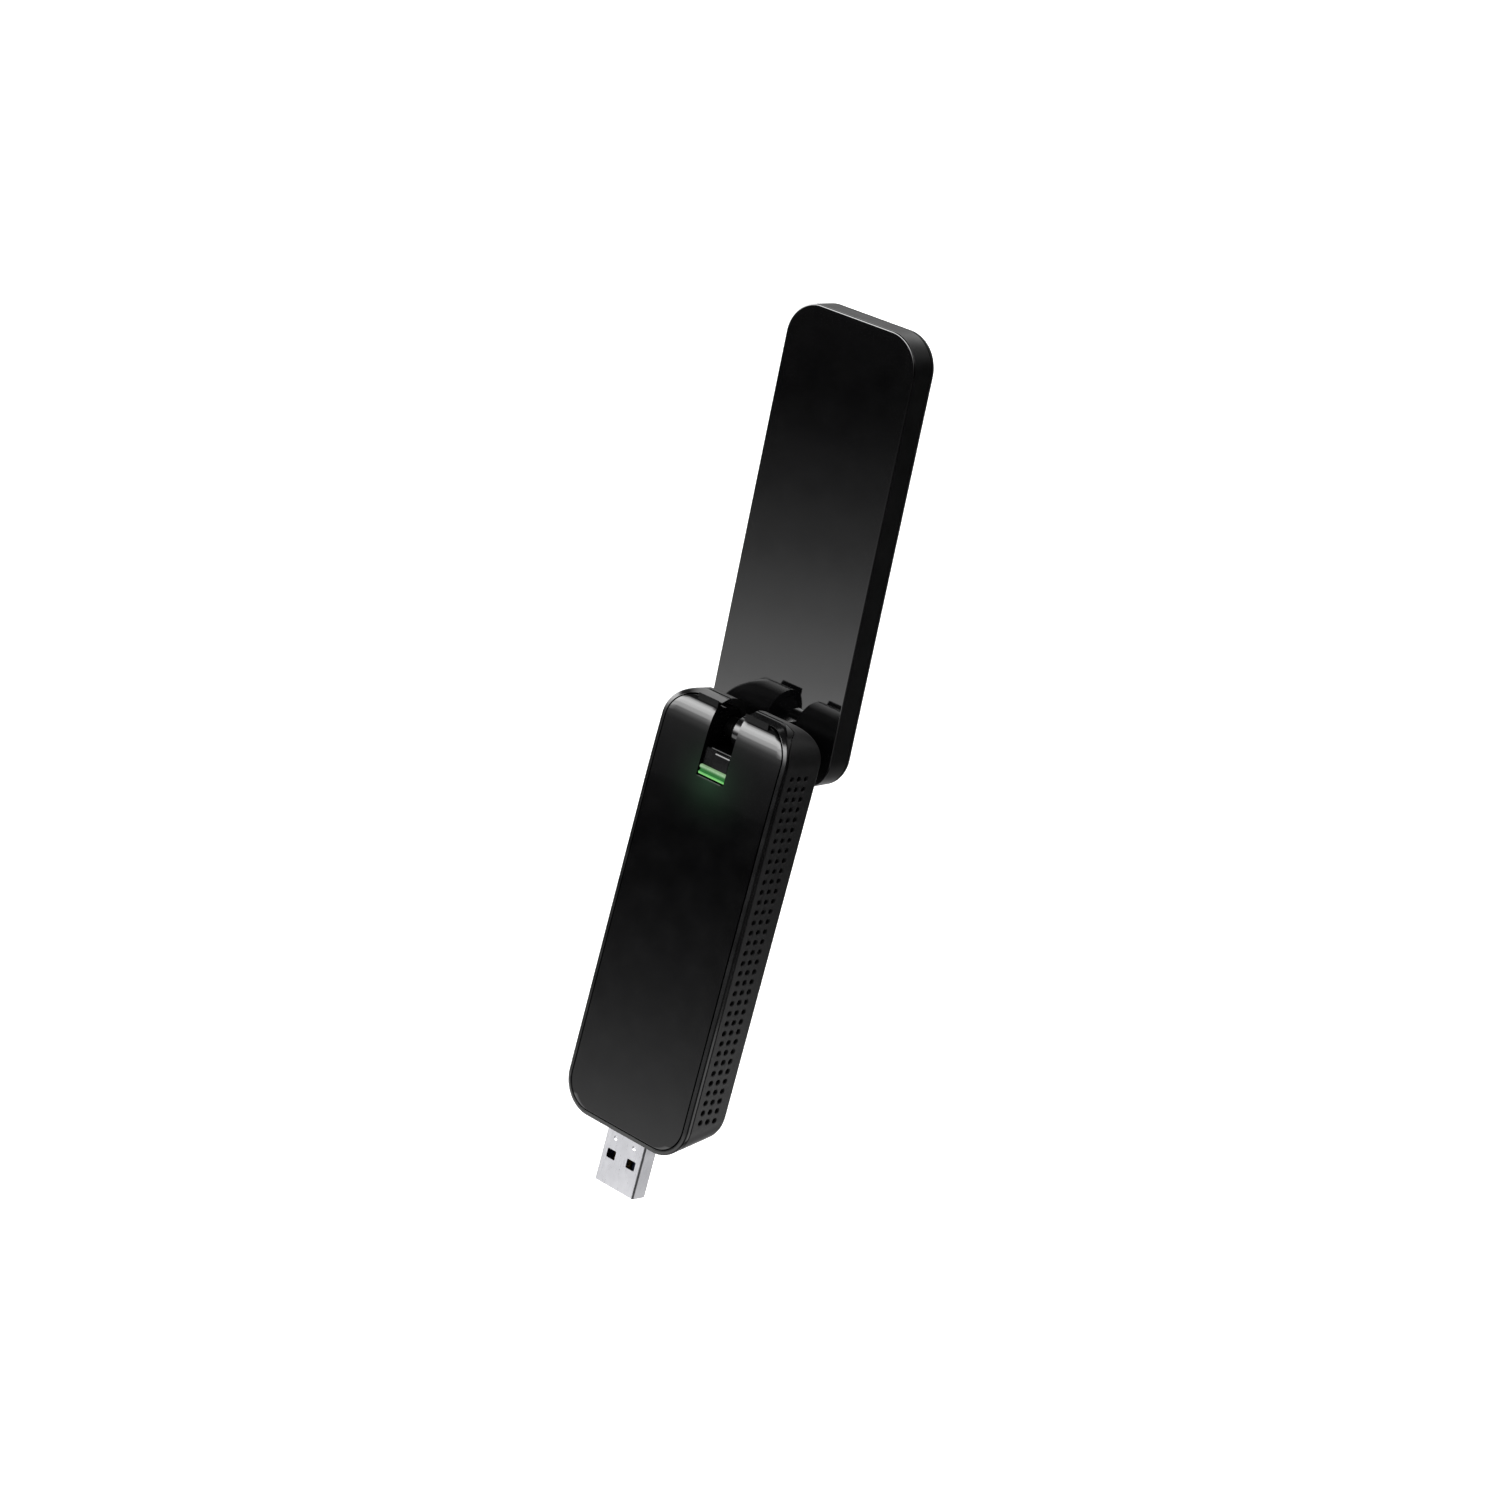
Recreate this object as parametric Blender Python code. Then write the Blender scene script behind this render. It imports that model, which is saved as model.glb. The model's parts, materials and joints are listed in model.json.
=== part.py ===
"""USB wireless adapter with a fold-out antenna panel, modelled in metres, +Z up.

The adapter stands on its USB plug: the plug's tip is at z = 0, the body's long axis runs along +Z,
the glossy front faces -Y and the width runs along X. The antenna panel turns on a pin across the
notch at the body's top end and folds down over the front.
"""
import math

import bmesh
import bpy
from mathutils import Matrix, Vector

MM = 0.001
GAP = 0.3 * MM            # clearance between pieces that touch

# ---------------------------------------------------------------- driving dimensions
PLUG_WIDTH = 12.0 * MM
PLUG_DEPTH = 4.5 * MM
PLUG_LENGTH = 14.0 * MM   # from the body's front bottom edge to the tip
PLUG_WALL = 0.3 * MM

BODY_WIDTH = 37.2 * MM
BODY_DEPTH = 12.8 * MM
BODY_LENGTH = 102.6 * MM
BODY_CORNER = 8.2 * MM    # corner radius of the front outline
BOTTOM_RISE = 0.22        # rise of the bottom face per unit of depth
WALL = 1.6 * MM
COVER_THICK = 1.2 * MM
COVER_INSET = 1.45 * MM   # from the body's outline to the front cover's edge
RIM_INSET = 1.15 * MM     # width of the rim seen from the front
BACK_EDGE = 0.6 * MM      # softening of the edge round the back

BODY_FRONT = -5.6 * MM    # y of the front face, with the plug's middle at y = 0
BODY_BOTTOM = PLUG_LENGTH
BODY_TOP = BODY_BOTTOM + BODY_LENGTH
BODY_BACK = BODY_FRONT + BODY_DEPTH
ROUND = BODY_DEPTH / 2    # the top end is a half round seen from the side
ROUND_Y = BODY_FRONT + ROUND
ROUND_Z = BODY_TOP - ROUND
RIM_TOP_DEPTH = 5.3 * MM  # how far back the rim reaches over the round top

NOTCH_LEFT = -4.5 * MM
NOTCH_RIGHT = 3.6 * MM
NOTCH_BOTTOM = BODY_BOTTOM + 85.0 * MM
SLOT_BOTTOM = BODY_BOTTOM + 91.6 * MM
LIGHT_TOP = BODY_BOTTOM + 87.5 * MM
LIGHT_DEPTH = 4.6 * MM    # from the body's front face to the back of the light bar

VENT_ROWS = 35
VENT_COLUMNS = 3
VENT_PITCH_Z = 2.40 * MM
VENT_PITCH_Y = 2.44 * MM
VENT_RADIUS = 0.62 * MM
VENT_TOP = BODY_BOTTOM + 92.0 * MM
VENT_FIRST_Y = BODY_FRONT + 3.85 * MM

HINGE_Y = BODY_FRONT + 7.7 * MM
HINGE_Z = BODY_BOTTOM + 96.0 * MM
KNUCKLE_RADIUS = 3.9 * MM
PIN_RADIUS = 0.9 * MM
KNUCKLE_LEFT = -0.9 * MM
KNUCKLE_RIGHT = NOTCH_RIGHT - GAP
ARM_HALF = 2.5 * MM       # half the height of the arm's web

PANEL_WIDTH = 36.7 * MM
PANEL_LENGTH = 104.2 * MM
PANEL_DEPTH = 7.2 * MM
PANEL_CORNER = 8.2 * MM
PANEL_REACH = 8.6 * MM    # from the hinge axis to the panel's front face
PANEL_DROP = 9.7 * MM     # from the hinge axis down to the panel's lower edge
PANEL_LEAN = math.radians(4.75)   # how far the open panel leans forward of straight up
PANEL_SPLIT = 5.8 * MM    # depth of the front shell, ahead of the back cover
PANEL_WALL = 1.4 * MM

BOARD_FRONT = BODY_FRONT + 6.1 * MM
BOARD_THICK = 1.0 * MM
CHIP_HEIGHT = 0.9 * MM
SCREW_SHANK = 0.5 * MM    # radius of every small screw's shank
SCREW_HOLE = 0.8 * MM     # radius of the hole a screw runs in
PIN_PLAY = 0.05 * MM      # radial clearance round the hinge pin
CHEEK = 1.6 * MM          # thickness of the cradle's cheeks
FOOT_FRONT = 2.2 * MM     # from the panel's front face to the arm's foot plate
FOOT_BACK = 3.2 * MM
LEAD_RADIUS = 0.4 * MM
LABEL_HALF = 11.0 * MM
LABEL_LOW = BODY_BOTTOM + 24.0 * MM
LABEL_HIGH = BODY_BOTTOM + 70.0 * MM
LABEL_RECESS = 0.6 * MM
CORNER_STEPS = 7          # segments in a quarter round of an outline
TOP_STEPS = 12            # segments in the half round of the top


# ---------------------------------------------------------------- scene and materials
def clear_scene():
    for item in list(bpy.data.objects):
        bpy.data.objects.remove(item, do_unlink=True)


def material(name, colour, roughness, metallic=0.0):
    made = bpy.data.materials.new(name)
    made.use_nodes = True
    shader = made.node_tree.nodes["Principled BSDF"]
    shader.inputs["Base Color"].default_value = (*colour, 1.0)
    shader.inputs["Roughness"].default_value = roughness
    shader.inputs["Metallic"].default_value = metallic
    made.diffuse_color = (*colour, 1.0)
    return made


# ---------------------------------------------------------------- shapes
def prism(points, axis, low, high):
    """A closed prism: a flat outline of (a, b) points drawn along X, Y or Z from low to high."""
    place = {
        "X": lambda a, b, c: (c, a, b),
        "Y": lambda a, b, c: (a, c, b),
        "Z": lambda a, b, c: (a, b, c),
    }[axis]
    mesh = bmesh.new()
    lower = [mesh.verts.new(place(a, b, low)) for a, b in points]
    upper = [mesh.verts.new(place(a, b, high)) for a, b in points]
    mesh.faces.new(lower)
    mesh.faces.new(upper)
    for index in range(len(points)):
        following = (index + 1) % len(points)
        mesh.faces.new((lower[index], lower[following], upper[following], upper[index]))
    bmesh.ops.recalc_face_normals(mesh, faces=mesh.faces)
    return mesh


def loft(*rings):
    """A closed shape through rings of equally many points, given as (x, y, z)."""
    mesh = bmesh.new()
    levels = [[mesh.verts.new(point) for point in ring] for ring in rings]
    mesh.faces.new(levels[0])
    mesh.faces.new(levels[-1])
    count = len(rings[0])
    for lower, upper in zip(levels, levels[1:]):
        for index in range(count):
            following = (index + 1) % count
            mesh.faces.new((lower[index], lower[following], upper[following], upper[index]))
    bmesh.ops.recalc_face_normals(mesh, faces=mesh.faces)
    return mesh


def block(low, high):
    corners = [(low[0], low[1]), (high[0], low[1]), (high[0], high[1]), (low[0], high[1])]
    return prism(corners, "Z", low[2], high[2])


def rod(axis, centre, radius, low, high, sides=16):
    """A cylinder along X, Y or Z; centre gives its two other coordinates."""
    ring = [
        (
            centre[0] + radius * math.cos(2 * math.pi * step / sides),
            centre[1] + radius * math.sin(2 * math.pi * step / sides),
        )
        for step in range(sides)
    ]
    return prism(ring, axis, low, high)


def arc(centre, radius, start, end, steps):
    """Points on a circle, from one angle to another in degrees."""
    points = []
    for step in range(steps + 1):
        angle = math.radians(start + (end - start) * step / steps)
        points.append((centre[0] + radius * math.cos(angle), centre[1] + radius * math.sin(angle)))
    return points


def rounded_outline(left, right, bottom, top, radius, steps=CORNER_STEPS):
    points = arc((right - radius, top - radius), radius, 0, 90, steps)
    points += arc((left + radius, top - radius), radius, 90, 180, steps)
    points += arc((left + radius, bottom + radius), radius, 180, 270, steps)
    points += arc((right - radius, bottom + radius), radius, 270, 360, steps)
    return points


def body_ring(y, inset):
    """The body's outline at depth y, drawn in by inset; its lower end rises towards the back."""
    half = BODY_WIDTH / 2 - inset
    rise = BOTTOM_RISE * (y - BODY_FRONT)
    outline = rounded_outline(
        -half, half, BODY_BOTTOM + rise + inset, BODY_TOP - inset, BODY_CORNER - inset
    )
    return [(x, y, z) for x, z in outline]


def body_solid(*sections):
    """The space inside the body's outline, through sections of (depth, inset)."""
    return loft(*[body_ring(y, inset) for y, inset in sections])


def body_profile(inset):
    """The body's side profile (y, z), drawn in by inset all round and left long at the bottom."""
    low = BODY_BOTTOM - 5 * MM
    points = [(BODY_FRONT + inset, low)]
    points += arc((ROUND_Y, ROUND_Z), ROUND - inset, 180, 0, TOP_STEPS)
    points.append((BODY_BACK - inset, low))
    return points


def skin_profile(outer, inner, top_depth):
    """Side profile of a skin that lies between two insets and ends top_depth back over the top."""
    end_y = BODY_FRONT + top_depth
    outer_end = math.degrees(math.acos((end_y - ROUND_Y) / (ROUND - outer)))
    inner_end = math.degrees(math.acos((end_y - ROUND_Y) / (ROUND - inner)))
    low = BODY_BOTTOM - 5 * MM
    points = [(BODY_FRONT + outer, low)]
    points += arc((ROUND_Y, ROUND_Z), ROUND - outer, 180, outer_end, TOP_STEPS // 2)
    points += arc((ROUND_Y, ROUND_Z), ROUND - inner, inner_end, 180, TOP_STEPS // 2)
    points.append((BODY_FRONT + inner, low))
    return points


# ---------------------------------------------------------------- joining and cutting
def to_object(name, mesh):
    data = bpy.data.meshes.new(name)
    mesh.to_mesh(data)
    mesh.free()
    item = bpy.data.objects.new(name, data)
    bpy.context.scene.collection.objects.link(item)
    return item


def combine(name, first, *steps):
    """One closed body: a start shape and then (operation, shape) pairs, applied in turn."""
    item = to_object(name, first)
    for operation, shape in steps:
        tool = to_object(name + "_tool", shape)
        modifier = item.modifiers.new(operation, "BOOLEAN")
        modifier.operation = operation
        modifier.solver = "EXACT"
        modifier.object = tool
        graph = bpy.context.evaluated_depsgraph_get()
        result = bpy.data.meshes.new_from_object(item.evaluated_get(graph))
        item.modifiers.clear()
        item.data = result
        bpy.data.objects.remove(tool, do_unlink=True)
    item.data.name = name
    return item


def join_shapes(shapes):
    """Several separate shapes in one mesh, for one cut with all of them."""
    joined = bmesh.new()
    for shape in shapes:
        data = bpy.data.meshes.new("cutter")
        shape.to_mesh(data)
        shape.free()
        joined.from_mesh(data)
        bpy.data.meshes.remove(data)
    return joined


def finish(item, surface, parent=None, smooth=True):
    """Give a piece its material and, on the panel, hang it on the hinge's empty."""
    item.data.materials.clear()
    item.data.materials.append(surface)
    if smooth:
        item.data.shade_smooth()
        item.data.set_sharp_from_angle(angle=math.radians(30))
    if parent:
        item.parent = parent
    return item


# ---------------------------------------------------------------- body shells
def front_cover(surface):
    """Glossy cover, let into the rim; its top wraps over the round end, and it is notched."""
    span = BODY_WIDTH / 2
    skin = prism(skin_profile(0, COVER_THICK, RIM_TOP_DEPTH), "X", -span, span)
    outline = body_solid((BODY_FRONT - 2 * MM, COVER_INSET), (BODY_BACK, COVER_INSET))
    notch = block((NOTCH_LEFT, BODY_FRONT - MM, NOTCH_BOTTOM), (NOTCH_RIGHT, BODY_BACK, BODY_TOP + MM))
    item = combine("front_cover", skin, ("INTERSECT", outline), ("DIFFERENCE", notch))
    return finish(item, surface)


def trim_rim(surface):
    """Narrow glossy rim round the front cover, open at the notch."""
    span = BODY_WIDTH / 2 + MM
    skin = prism(skin_profile(0, COVER_THICK, RIM_TOP_DEPTH), "X", -span, span)
    outside = body_solid((BODY_FRONT - 2 * MM, 0), (BODY_BACK, 0))
    inside = body_solid((BODY_FRONT - 3 * MM, RIM_INSET), (BODY_BACK + MM, RIM_INSET))
    notch = block((NOTCH_LEFT, BODY_FRONT - MM, NOTCH_BOTTOM), (NOTCH_RIGHT, BODY_BACK, BODY_TOP + MM))
    item = combine(
        "trim_rim", skin, ("INTERSECT", outside), ("DIFFERENCE", inside), ("DIFFERENCE", notch)
    )
    return finish(item, surface)


def vent_cutters():
    """Six-sided vents through both side walls, in three columns."""
    shapes = []
    reach = BODY_WIDTH / 2 + MM
    for side in (-1, 1):
        ends = sorted((side * reach, side * (BODY_WIDTH / 2 - WALL - MM)))
        for row in range(VENT_ROWS):
            for column in range(VENT_COLUMNS):
                centre = (VENT_FIRST_Y + column * VENT_PITCH_Y, VENT_TOP - row * VENT_PITCH_Z)
                shapes.append(rod("X", centre, VENT_RADIUS, *ends, sides=6))
    return join_shapes(shapes)


def housing_shell(surface):
    """Side band and back in one tray, open to the front, with vents, hinge opening and bosses."""
    span = BODY_WIDTH / 2 + MM
    cover_room = COVER_THICK + GAP
    rim_end = BODY_FRONT + RIM_TOP_DEPTH + GAP
    rim_stop = math.degrees(math.acos((rim_end - ROUND_Y) / (ROUND - cover_room)))
    rim_step = math.degrees(math.acos((rim_end - ROUND_Y) / ROUND))
    low = BODY_BOTTOM - 5 * MM
    profile = [(BODY_FRONT + cover_room, low)]
    profile += arc((ROUND_Y, ROUND_Z), ROUND - cover_room, 180, rim_stop, 6)
    profile += arc((ROUND_Y, ROUND_Z), ROUND, rim_step, 0, 8)
    profile.append((BODY_BACK, low))

    hollow = [(BODY_FRONT - MM, low), (BODY_FRONT - MM, ROUND_Z)]
    hollow += arc((ROUND_Y, ROUND_Z), ROUND - WALL - 0.1 * MM, 160, 0, 8)
    hollow.append((BODY_BACK - WALL, low))
    inner = combine(
        "inner", prism(hollow, "X", -span, span),
        ("INTERSECT", body_solid((BODY_FRONT - 2 * MM, WALL), (BODY_BACK, WALL))),
    )
    cavity = bmesh.new()
    cavity.from_mesh(inner.data)
    bpy.data.objects.remove(inner, do_unlink=True)

    soft = BACK_EDGE
    outline = body_solid(
        (BODY_FRONT - MM, 0), (BODY_BACK - soft, 0), (BODY_BACK - 0.3 * soft, 0.3 * soft), (BODY_BACK, soft)
    )
    plug = block(
        (-PLUG_WIDTH / 2 - GAP, -PLUG_DEPTH / 2 - GAP, 0),
        (PLUG_WIDTH / 2 + GAP, PLUG_DEPTH / 2 + GAP, BODY_BOTTOM + 8 * MM),
    )
    notch = block(
        (NOTCH_LEFT, BODY_FRONT - MM, SLOT_BOTTOM - 0.4 * MM), (NOTCH_RIGHT, BODY_BACK + MM, BODY_TOP + MM)
    )
    label = block(
        (-LABEL_HALF, BODY_BACK - LABEL_RECESS, LABEL_LOW),
        (LABEL_HALF, BODY_BACK + MM, LABEL_HIGH),
    )
    boss_front = BOARD_FRONT + BOARD_THICK + GAP
    bosses = [rod("Y", place, 2.0 * MM, boss_front, BODY_BACK - WALL / 2, 12) for place in screw_places()]
    holes = [rod("Y", place, SCREW_HOLE, BOARD_FRONT, BODY_BACK - WALL, 8) for place in screw_places()]
    item = combine(
        "housing_shell", prism(profile, "X", -span, span), ("INTERSECT", outline), ("DIFFERENCE", cavity),
        ("DIFFERENCE", plug), ("DIFFERENCE", notch), ("DIFFERENCE", label),
        ("UNION", join_shapes(bosses)), ("DIFFERENCE", join_shapes(holes)),
        ("DIFFERENCE", vent_cutters()),
    )
    return finish(item, surface)


def rating_label(surface):
    """Blank label, let into the back."""
    half = LABEL_HALF - GAP
    sheet = block(
        (-half, BODY_BACK - LABEL_RECESS + GAP, LABEL_LOW + GAP), (half, BODY_BACK, LABEL_HIGH - GAP)
    )
    return finish(to_object("rating_label", sheet), surface, smooth=False)


def screw_places():
    """(x, z) of the two screws that hold the board."""
    return [(12 * MM, BODY_BOTTOM + 14 * MM), (-12 * MM, BODY_BOTTOM + 80 * MM)]


# ---------------------------------------------------------------- USB plug
def usb_shell(surface):
    """Folded metal shell with two latch windows and two dimples on each broad face."""
    half_x, half_y = PLUG_WIDTH / 2, PLUG_DEPTH / 2
    top = BODY_BOTTOM + 6 * MM
    outer = prism(rounded_outline(-half_x, half_x, -half_y, half_y, 0.6 * MM, 3), "Z", 0, top)
    room_x, room_y = half_x - PLUG_WALL, half_y - PLUG_WALL
    inner = prism(rounded_outline(-room_x, room_x, -room_y, room_y, 0.3 * MM, 3), "Z", -MM, top + MM)
    window_z = PLUG_LENGTH - 6.7 * MM
    dimple_z = PLUG_LENGTH - 2.6 * MM
    windows = [
        block((x - 1.3 * MM, -3 * MM, window_z - 1.1 * MM), (x + 1.3 * MM, 3 * MM, window_z + 1.1 * MM))
        for x in (-3.07 * MM, 3.07 * MM)
    ]
    dimples = []
    for x in (-2.9 * MM, 2.9 * MM):
        dimples.append(rod("Y", (x, dimple_z), 0.5 * MM, -half_y - MM, -half_y + 0.14 * MM, 8))
        dimples.append(rod("Y", (x, dimple_z), 0.5 * MM, half_y - 0.14 * MM, half_y + MM, 8))
    item = combine(
        "usb_shell", outer, ("DIFFERENCE", inner), ("DIFFERENCE", join_shapes(windows)),
        ("DIFFERENCE", join_shapes(dimples)),
    )
    return finish(item, surface)


TONGUE_FRONT = 0.15 * MM
TONGUE_BACK = PLUG_DEPTH / 2 - PLUG_WALL - GAP
TONGUE_TIP = 0.5 * MM
PAD_PLACES = (-3.5 * MM, -1.0 * MM, 1.0 * MM, 3.5 * MM)
SPRING_PLACES = (-4.0 * MM, -2.0 * MM, 0.0, 2.0 * MM, 4.0 * MM)


def usb_tongue(surface):
    """Insulating tongue with grooves for the contacts, and a full-depth foot inside the body."""
    half = PLUG_WIDTH / 2 - PLUG_WALL - GAP
    foot_front = -PLUG_DEPTH / 2 + PLUG_WALL + GAP
    tongue = block((-half, TONGUE_FRONT, TONGUE_TIP), (half, TONGUE_BACK, BODY_BOTTOM + 5.7 * MM))
    foot = block((-half, foot_front, BODY_BOTTOM + 0.5 * MM), (half, TONGUE_BACK, BODY_BOTTOM + 5.7 * MM))
    grooves = [
        block((x - 0.8 * MM, -MM, 1.2 * MM), (x + 0.8 * MM, TONGUE_FRONT + 0.5 * MM, 9.2 * MM))
        for x in PAD_PLACES
    ]
    grooves += [
        block((x - 0.65 * MM, -MM, 9.8 * MM), (x + 0.65 * MM, TONGUE_FRONT + 0.5 * MM, 13.2 * MM))
        for x in SPRING_PLACES
    ]
    item = combine("usb_tongue", tongue, ("UNION", foot), ("DIFFERENCE", join_shapes(grooves)))
    return finish(item, surface, smooth=False)


def usb_contacts(surface):
    """Four long contact pads near the tip and five short spring contacts behind them."""
    depth = TONGUE_FRONT + 0.2 * MM
    for number, x in enumerate(PAD_PLACES, 1):
        pad = block((x - 0.5 * MM, depth - 0.35 * MM, 1.5 * MM), (x + 0.5 * MM, depth, 8.9 * MM))
        finish(to_object(f"usb_contact_{number}", pad), surface, smooth=False)
    for number, x in enumerate(SPRING_PLACES, 1):
        spring = block((x - 0.35 * MM, depth - 0.6 * MM, 10.1 * MM), (x + 0.35 * MM, depth, 12.9 * MM))
        finish(to_object(f"usb_spring_contact_{number}", spring), surface, smooth=False)


# ---------------------------------------------------------------- electronics in the body
def main_board(surface):
    half = 15.6 * MM
    bottom = BODY_BOTTOM + 6.4 * MM
    top = BODY_BOTTOM + 86.5 * MM
    back = BOARD_FRONT + BOARD_THICK
    outline = rounded_outline(-half, half, bottom, top, 5.5 * MM, 3)
    holes = [rod("Y", place, 0.9 * MM, BOARD_FRONT - MM, back + MM, 8) for place in screw_places()]
    item = combine(
        "main_board", prism(outline, "Y", BOARD_FRONT, back), ("DIFFERENCE", join_shapes(holes))
    )
    return finish(item, surface, smooth=False)


def board_screws(surface):
    for number, place in enumerate(screw_places(), 1):
        head = rod("Y", place, 1.5 * MM, BOARD_FRONT - 1.1 * MM, BOARD_FRONT - GAP, 12)
        shank = rod("Y", place, SCREW_SHANK, BOARD_FRONT - 0.5 * MM, BODY_BACK - WALL - GAP, 8)
        cuts = []
        for half_x, half_z in ((0.9 * MM, 0.15 * MM), (0.15 * MM, 0.9 * MM)):
            low = (place[0] - half_x, BODY_FRONT, place[1] - half_z)
            high = (place[0] + half_x, BOARD_FRONT - 0.8 * MM, place[1] + half_z)
            cuts.append(("DIFFERENCE", block(low, high)))
        finish(combine(f"board_screw_{number}", head, ("UNION", shank), *cuts), surface)


def box_on_board(name, surface, left, right, bottom, top, height, lift=GAP):
    """A plain component that stands height off the front of the board."""
    back = BOARD_FRONT - lift
    shape = block((left, back - height, BODY_BOTTOM + bottom), (right, back, BODY_BOTTOM + top))
    return finish(to_object(name, shape), surface, smooth=False)


def shield_can(surface):
    """Pressed metal can over the radio chips, open to the board, with rows of air holes."""
    back = BOARD_FRONT - GAP
    front = back - 2.6 * MM
    low, high = BODY_BOTTOM + 34 * MM, BODY_BOTTOM + 62 * MM
    outer = block((-12 * MM, front, low), (12 * MM, back, high))
    wall = 0.4 * MM
    inner = block((-12 * MM + wall, front + wall, low + wall), (12 * MM - wall, back + MM, high - wall))
    holes = [
        rod("Y", (column * 4 * MM, low + 5 * MM + row * 9 * MM), 0.6 * MM, front - MM, front + MM, 6)
        for column in (-2, -1, 0, 1, 2) for row in range(3)
    ]
    item = combine("shield_can", outer, ("DIFFERENCE", inner), ("DIFFERENCE", join_shapes(holes)))
    return finish(item, surface, smooth=False)


def light_guide(surface):
    """Light bar across the bottom of the notch, with two ridges on its face."""
    left, right = NOTCH_LEFT + GAP, NOTCH_RIGHT - GAP
    low, high = NOTCH_BOTTOM + GAP, LIGHT_TOP
    face = BODY_FRONT + 0.25 * MM
    bar = block((left, face + 0.35 * MM, low), (right, BODY_FRONT + LIGHT_DEPTH, high))
    upper = block((left, face, high - 0.6 * MM), (right, face + MM, high))
    lower = block((left, face, low), (right, face + MM, low + 0.6 * MM))
    item = combine("light_guide", bar, ("UNION", upper), ("UNION", lower))
    return finish(item, surface, smooth=False)


# ---------------------------------------------------------------- hinge in the body
def hinge_cradle(surface):
    """Fork that lines the notch: a chin above the light bar and two cheeks that hold the pin."""
    inset = COVER_THICK + 2 * GAP
    low = LIGHT_TOP + GAP
    inside = prism(body_profile(inset), "X", NOTCH_LEFT - CHEEK, NOTCH_RIGHT + CHEEK)
    keep = block((-20 * MM, -20 * MM, low), (20 * MM, 20 * MM, BODY_TOP + MM))
    chin_profile = [
        (BODY_FRONT + 0.4 * MM, low),
        (BODY_FRONT + 3 * MM, low),
        (BODY_FRONT + 3 * MM, SLOT_BOTTOM - 0.1 * MM),
        (BODY_FRONT + 1.1 * MM, SLOT_BOTTOM - 0.1 * MM),
        (BODY_FRONT + 0.6 * MM, SLOT_BOTTOM - 0.35 * MM),
        (BODY_FRONT + 0.4 * MM, SLOT_BOTTOM - 0.9 * MM),
    ]
    chin = prism(chin_profile, "X", NOTCH_LEFT + GAP, NOTCH_RIGHT - GAP)
    slot = block((NOTCH_LEFT, BODY_FRONT - MM, SLOT_BOTTOM), (NOTCH_RIGHT, BODY_BACK + MM, BODY_TOP + MM))
    board_room = block(
        (-20 * MM, BOARD_FRONT - GAP, BODY_BOTTOM + 80 * MM),
        (20 * MM, BOARD_FRONT + BOARD_THICK + GAP, BODY_BOTTOM + 86.8 * MM),
    )
    pin_hole = rod("X", (HINGE_Y, HINGE_Z), PIN_RADIUS + PIN_PLAY, -20 * MM, 20 * MM, 16)
    item = combine(
        "hinge_cradle", inside, ("INTERSECT", keep), ("UNION", chin), ("DIFFERENCE", slot),
        ("DIFFERENCE", board_room), ("DIFFERENCE", pin_hole),
    )
    return finish(item, surface)


def hinge_pin(surface):
    """Steel pin through both cheeks, with a wider head at its right end."""
    centre = (HINGE_Y, HINGE_Z)
    shaft = rod("X", centre, PIN_RADIUS, NOTCH_LEFT - CHEEK - MM, NOTCH_RIGHT + CHEEK + 0.8 * MM, 16)
    head = rod("X", centre, 1.6 * MM, NOTCH_RIGHT + CHEEK + GAP, NOTCH_RIGHT + CHEEK + 1.2 * MM, 16)
    return finish(combine("hinge_pin", shaft, ("UNION", head)), surface)


def friction_clutch(surface):
    """Wrapped friction spring on the pin, beside the arm's knuckle, seen as a ribbed sleeve."""
    centre = (HINGE_Y, HINGE_Z)
    left, right = NOTCH_LEFT + GAP, KNUCKLE_LEFT - GAP
    sleeve = rod("X", centre, 2.4 * MM, left, right, 20)
    bore = rod("X", centre, PIN_RADIUS + PIN_PLAY, left - MM, right + MM, 16)
    return finish(combine("friction_clutch", sleeve, ("DIFFERENCE", bore)), surface)


# ---------------------------------------------------------------- antenna panel, in hinge coordinates
def panel_outline(inset):
    """Panel outline (x, z) about the hinge axis, drawn in by inset."""
    half = PANEL_WIDTH / 2 - inset
    return rounded_outline(
        -half, half, inset - PANEL_DROP, PANEL_LENGTH - PANEL_DROP - inset, PANEL_CORNER - inset
    )


def panel_ring(y, inset):
    return [(x, y, z) for x, z in panel_outline(inset)]


def foot_screw_places():
    """(x, z) of the screws that hold the arm's foot in the panel."""
    return [(-5.4 * MM, 0.0), (8.0 * MM, 0.0)]


def panel_front_shell(surface, hinge):
    """Glossy face and side band in one tray, with an opening for the arm and two screw pads."""
    front, back = PANEL_REACH, PANEL_REACH + PANEL_SPLIT
    bevel = 0.3 * MM
    body = loft(panel_ring(front, bevel), panel_ring(front + bevel, 0), panel_ring(back, 0))
    hollow = prism(panel_outline(PANEL_WALL), "Y", front + PANEL_WALL, back + MM)
    pad_low, pad_high = front + PANEL_WALL / 2, front + FOOT_FRONT - GAP
    pads = [rod("Y", place, 1.9 * MM, pad_low, pad_high, 12) for place in foot_screw_places()]
    hole_low, hole_high = pad_low + 0.1 * MM, pad_high + MM
    holes = [rod("Y", place, SCREW_HOLE, hole_low, hole_high, 8) for place in foot_screw_places()]
    opening = block(
        (KNUCKLE_LEFT - GAP, front - MM, -ARM_HALF - GAP),
        (KNUCKLE_RIGHT + GAP, front + PANEL_WALL + GAP, ARM_HALF + GAP),
    )
    item = combine(
        "panel_front_shell", body, ("DIFFERENCE", hollow),
        ("UNION", join_shapes(pads)), ("DIFFERENCE", join_shapes(holes)), ("DIFFERENCE", opening),
    )
    return finish(item, surface, hinge)


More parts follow.
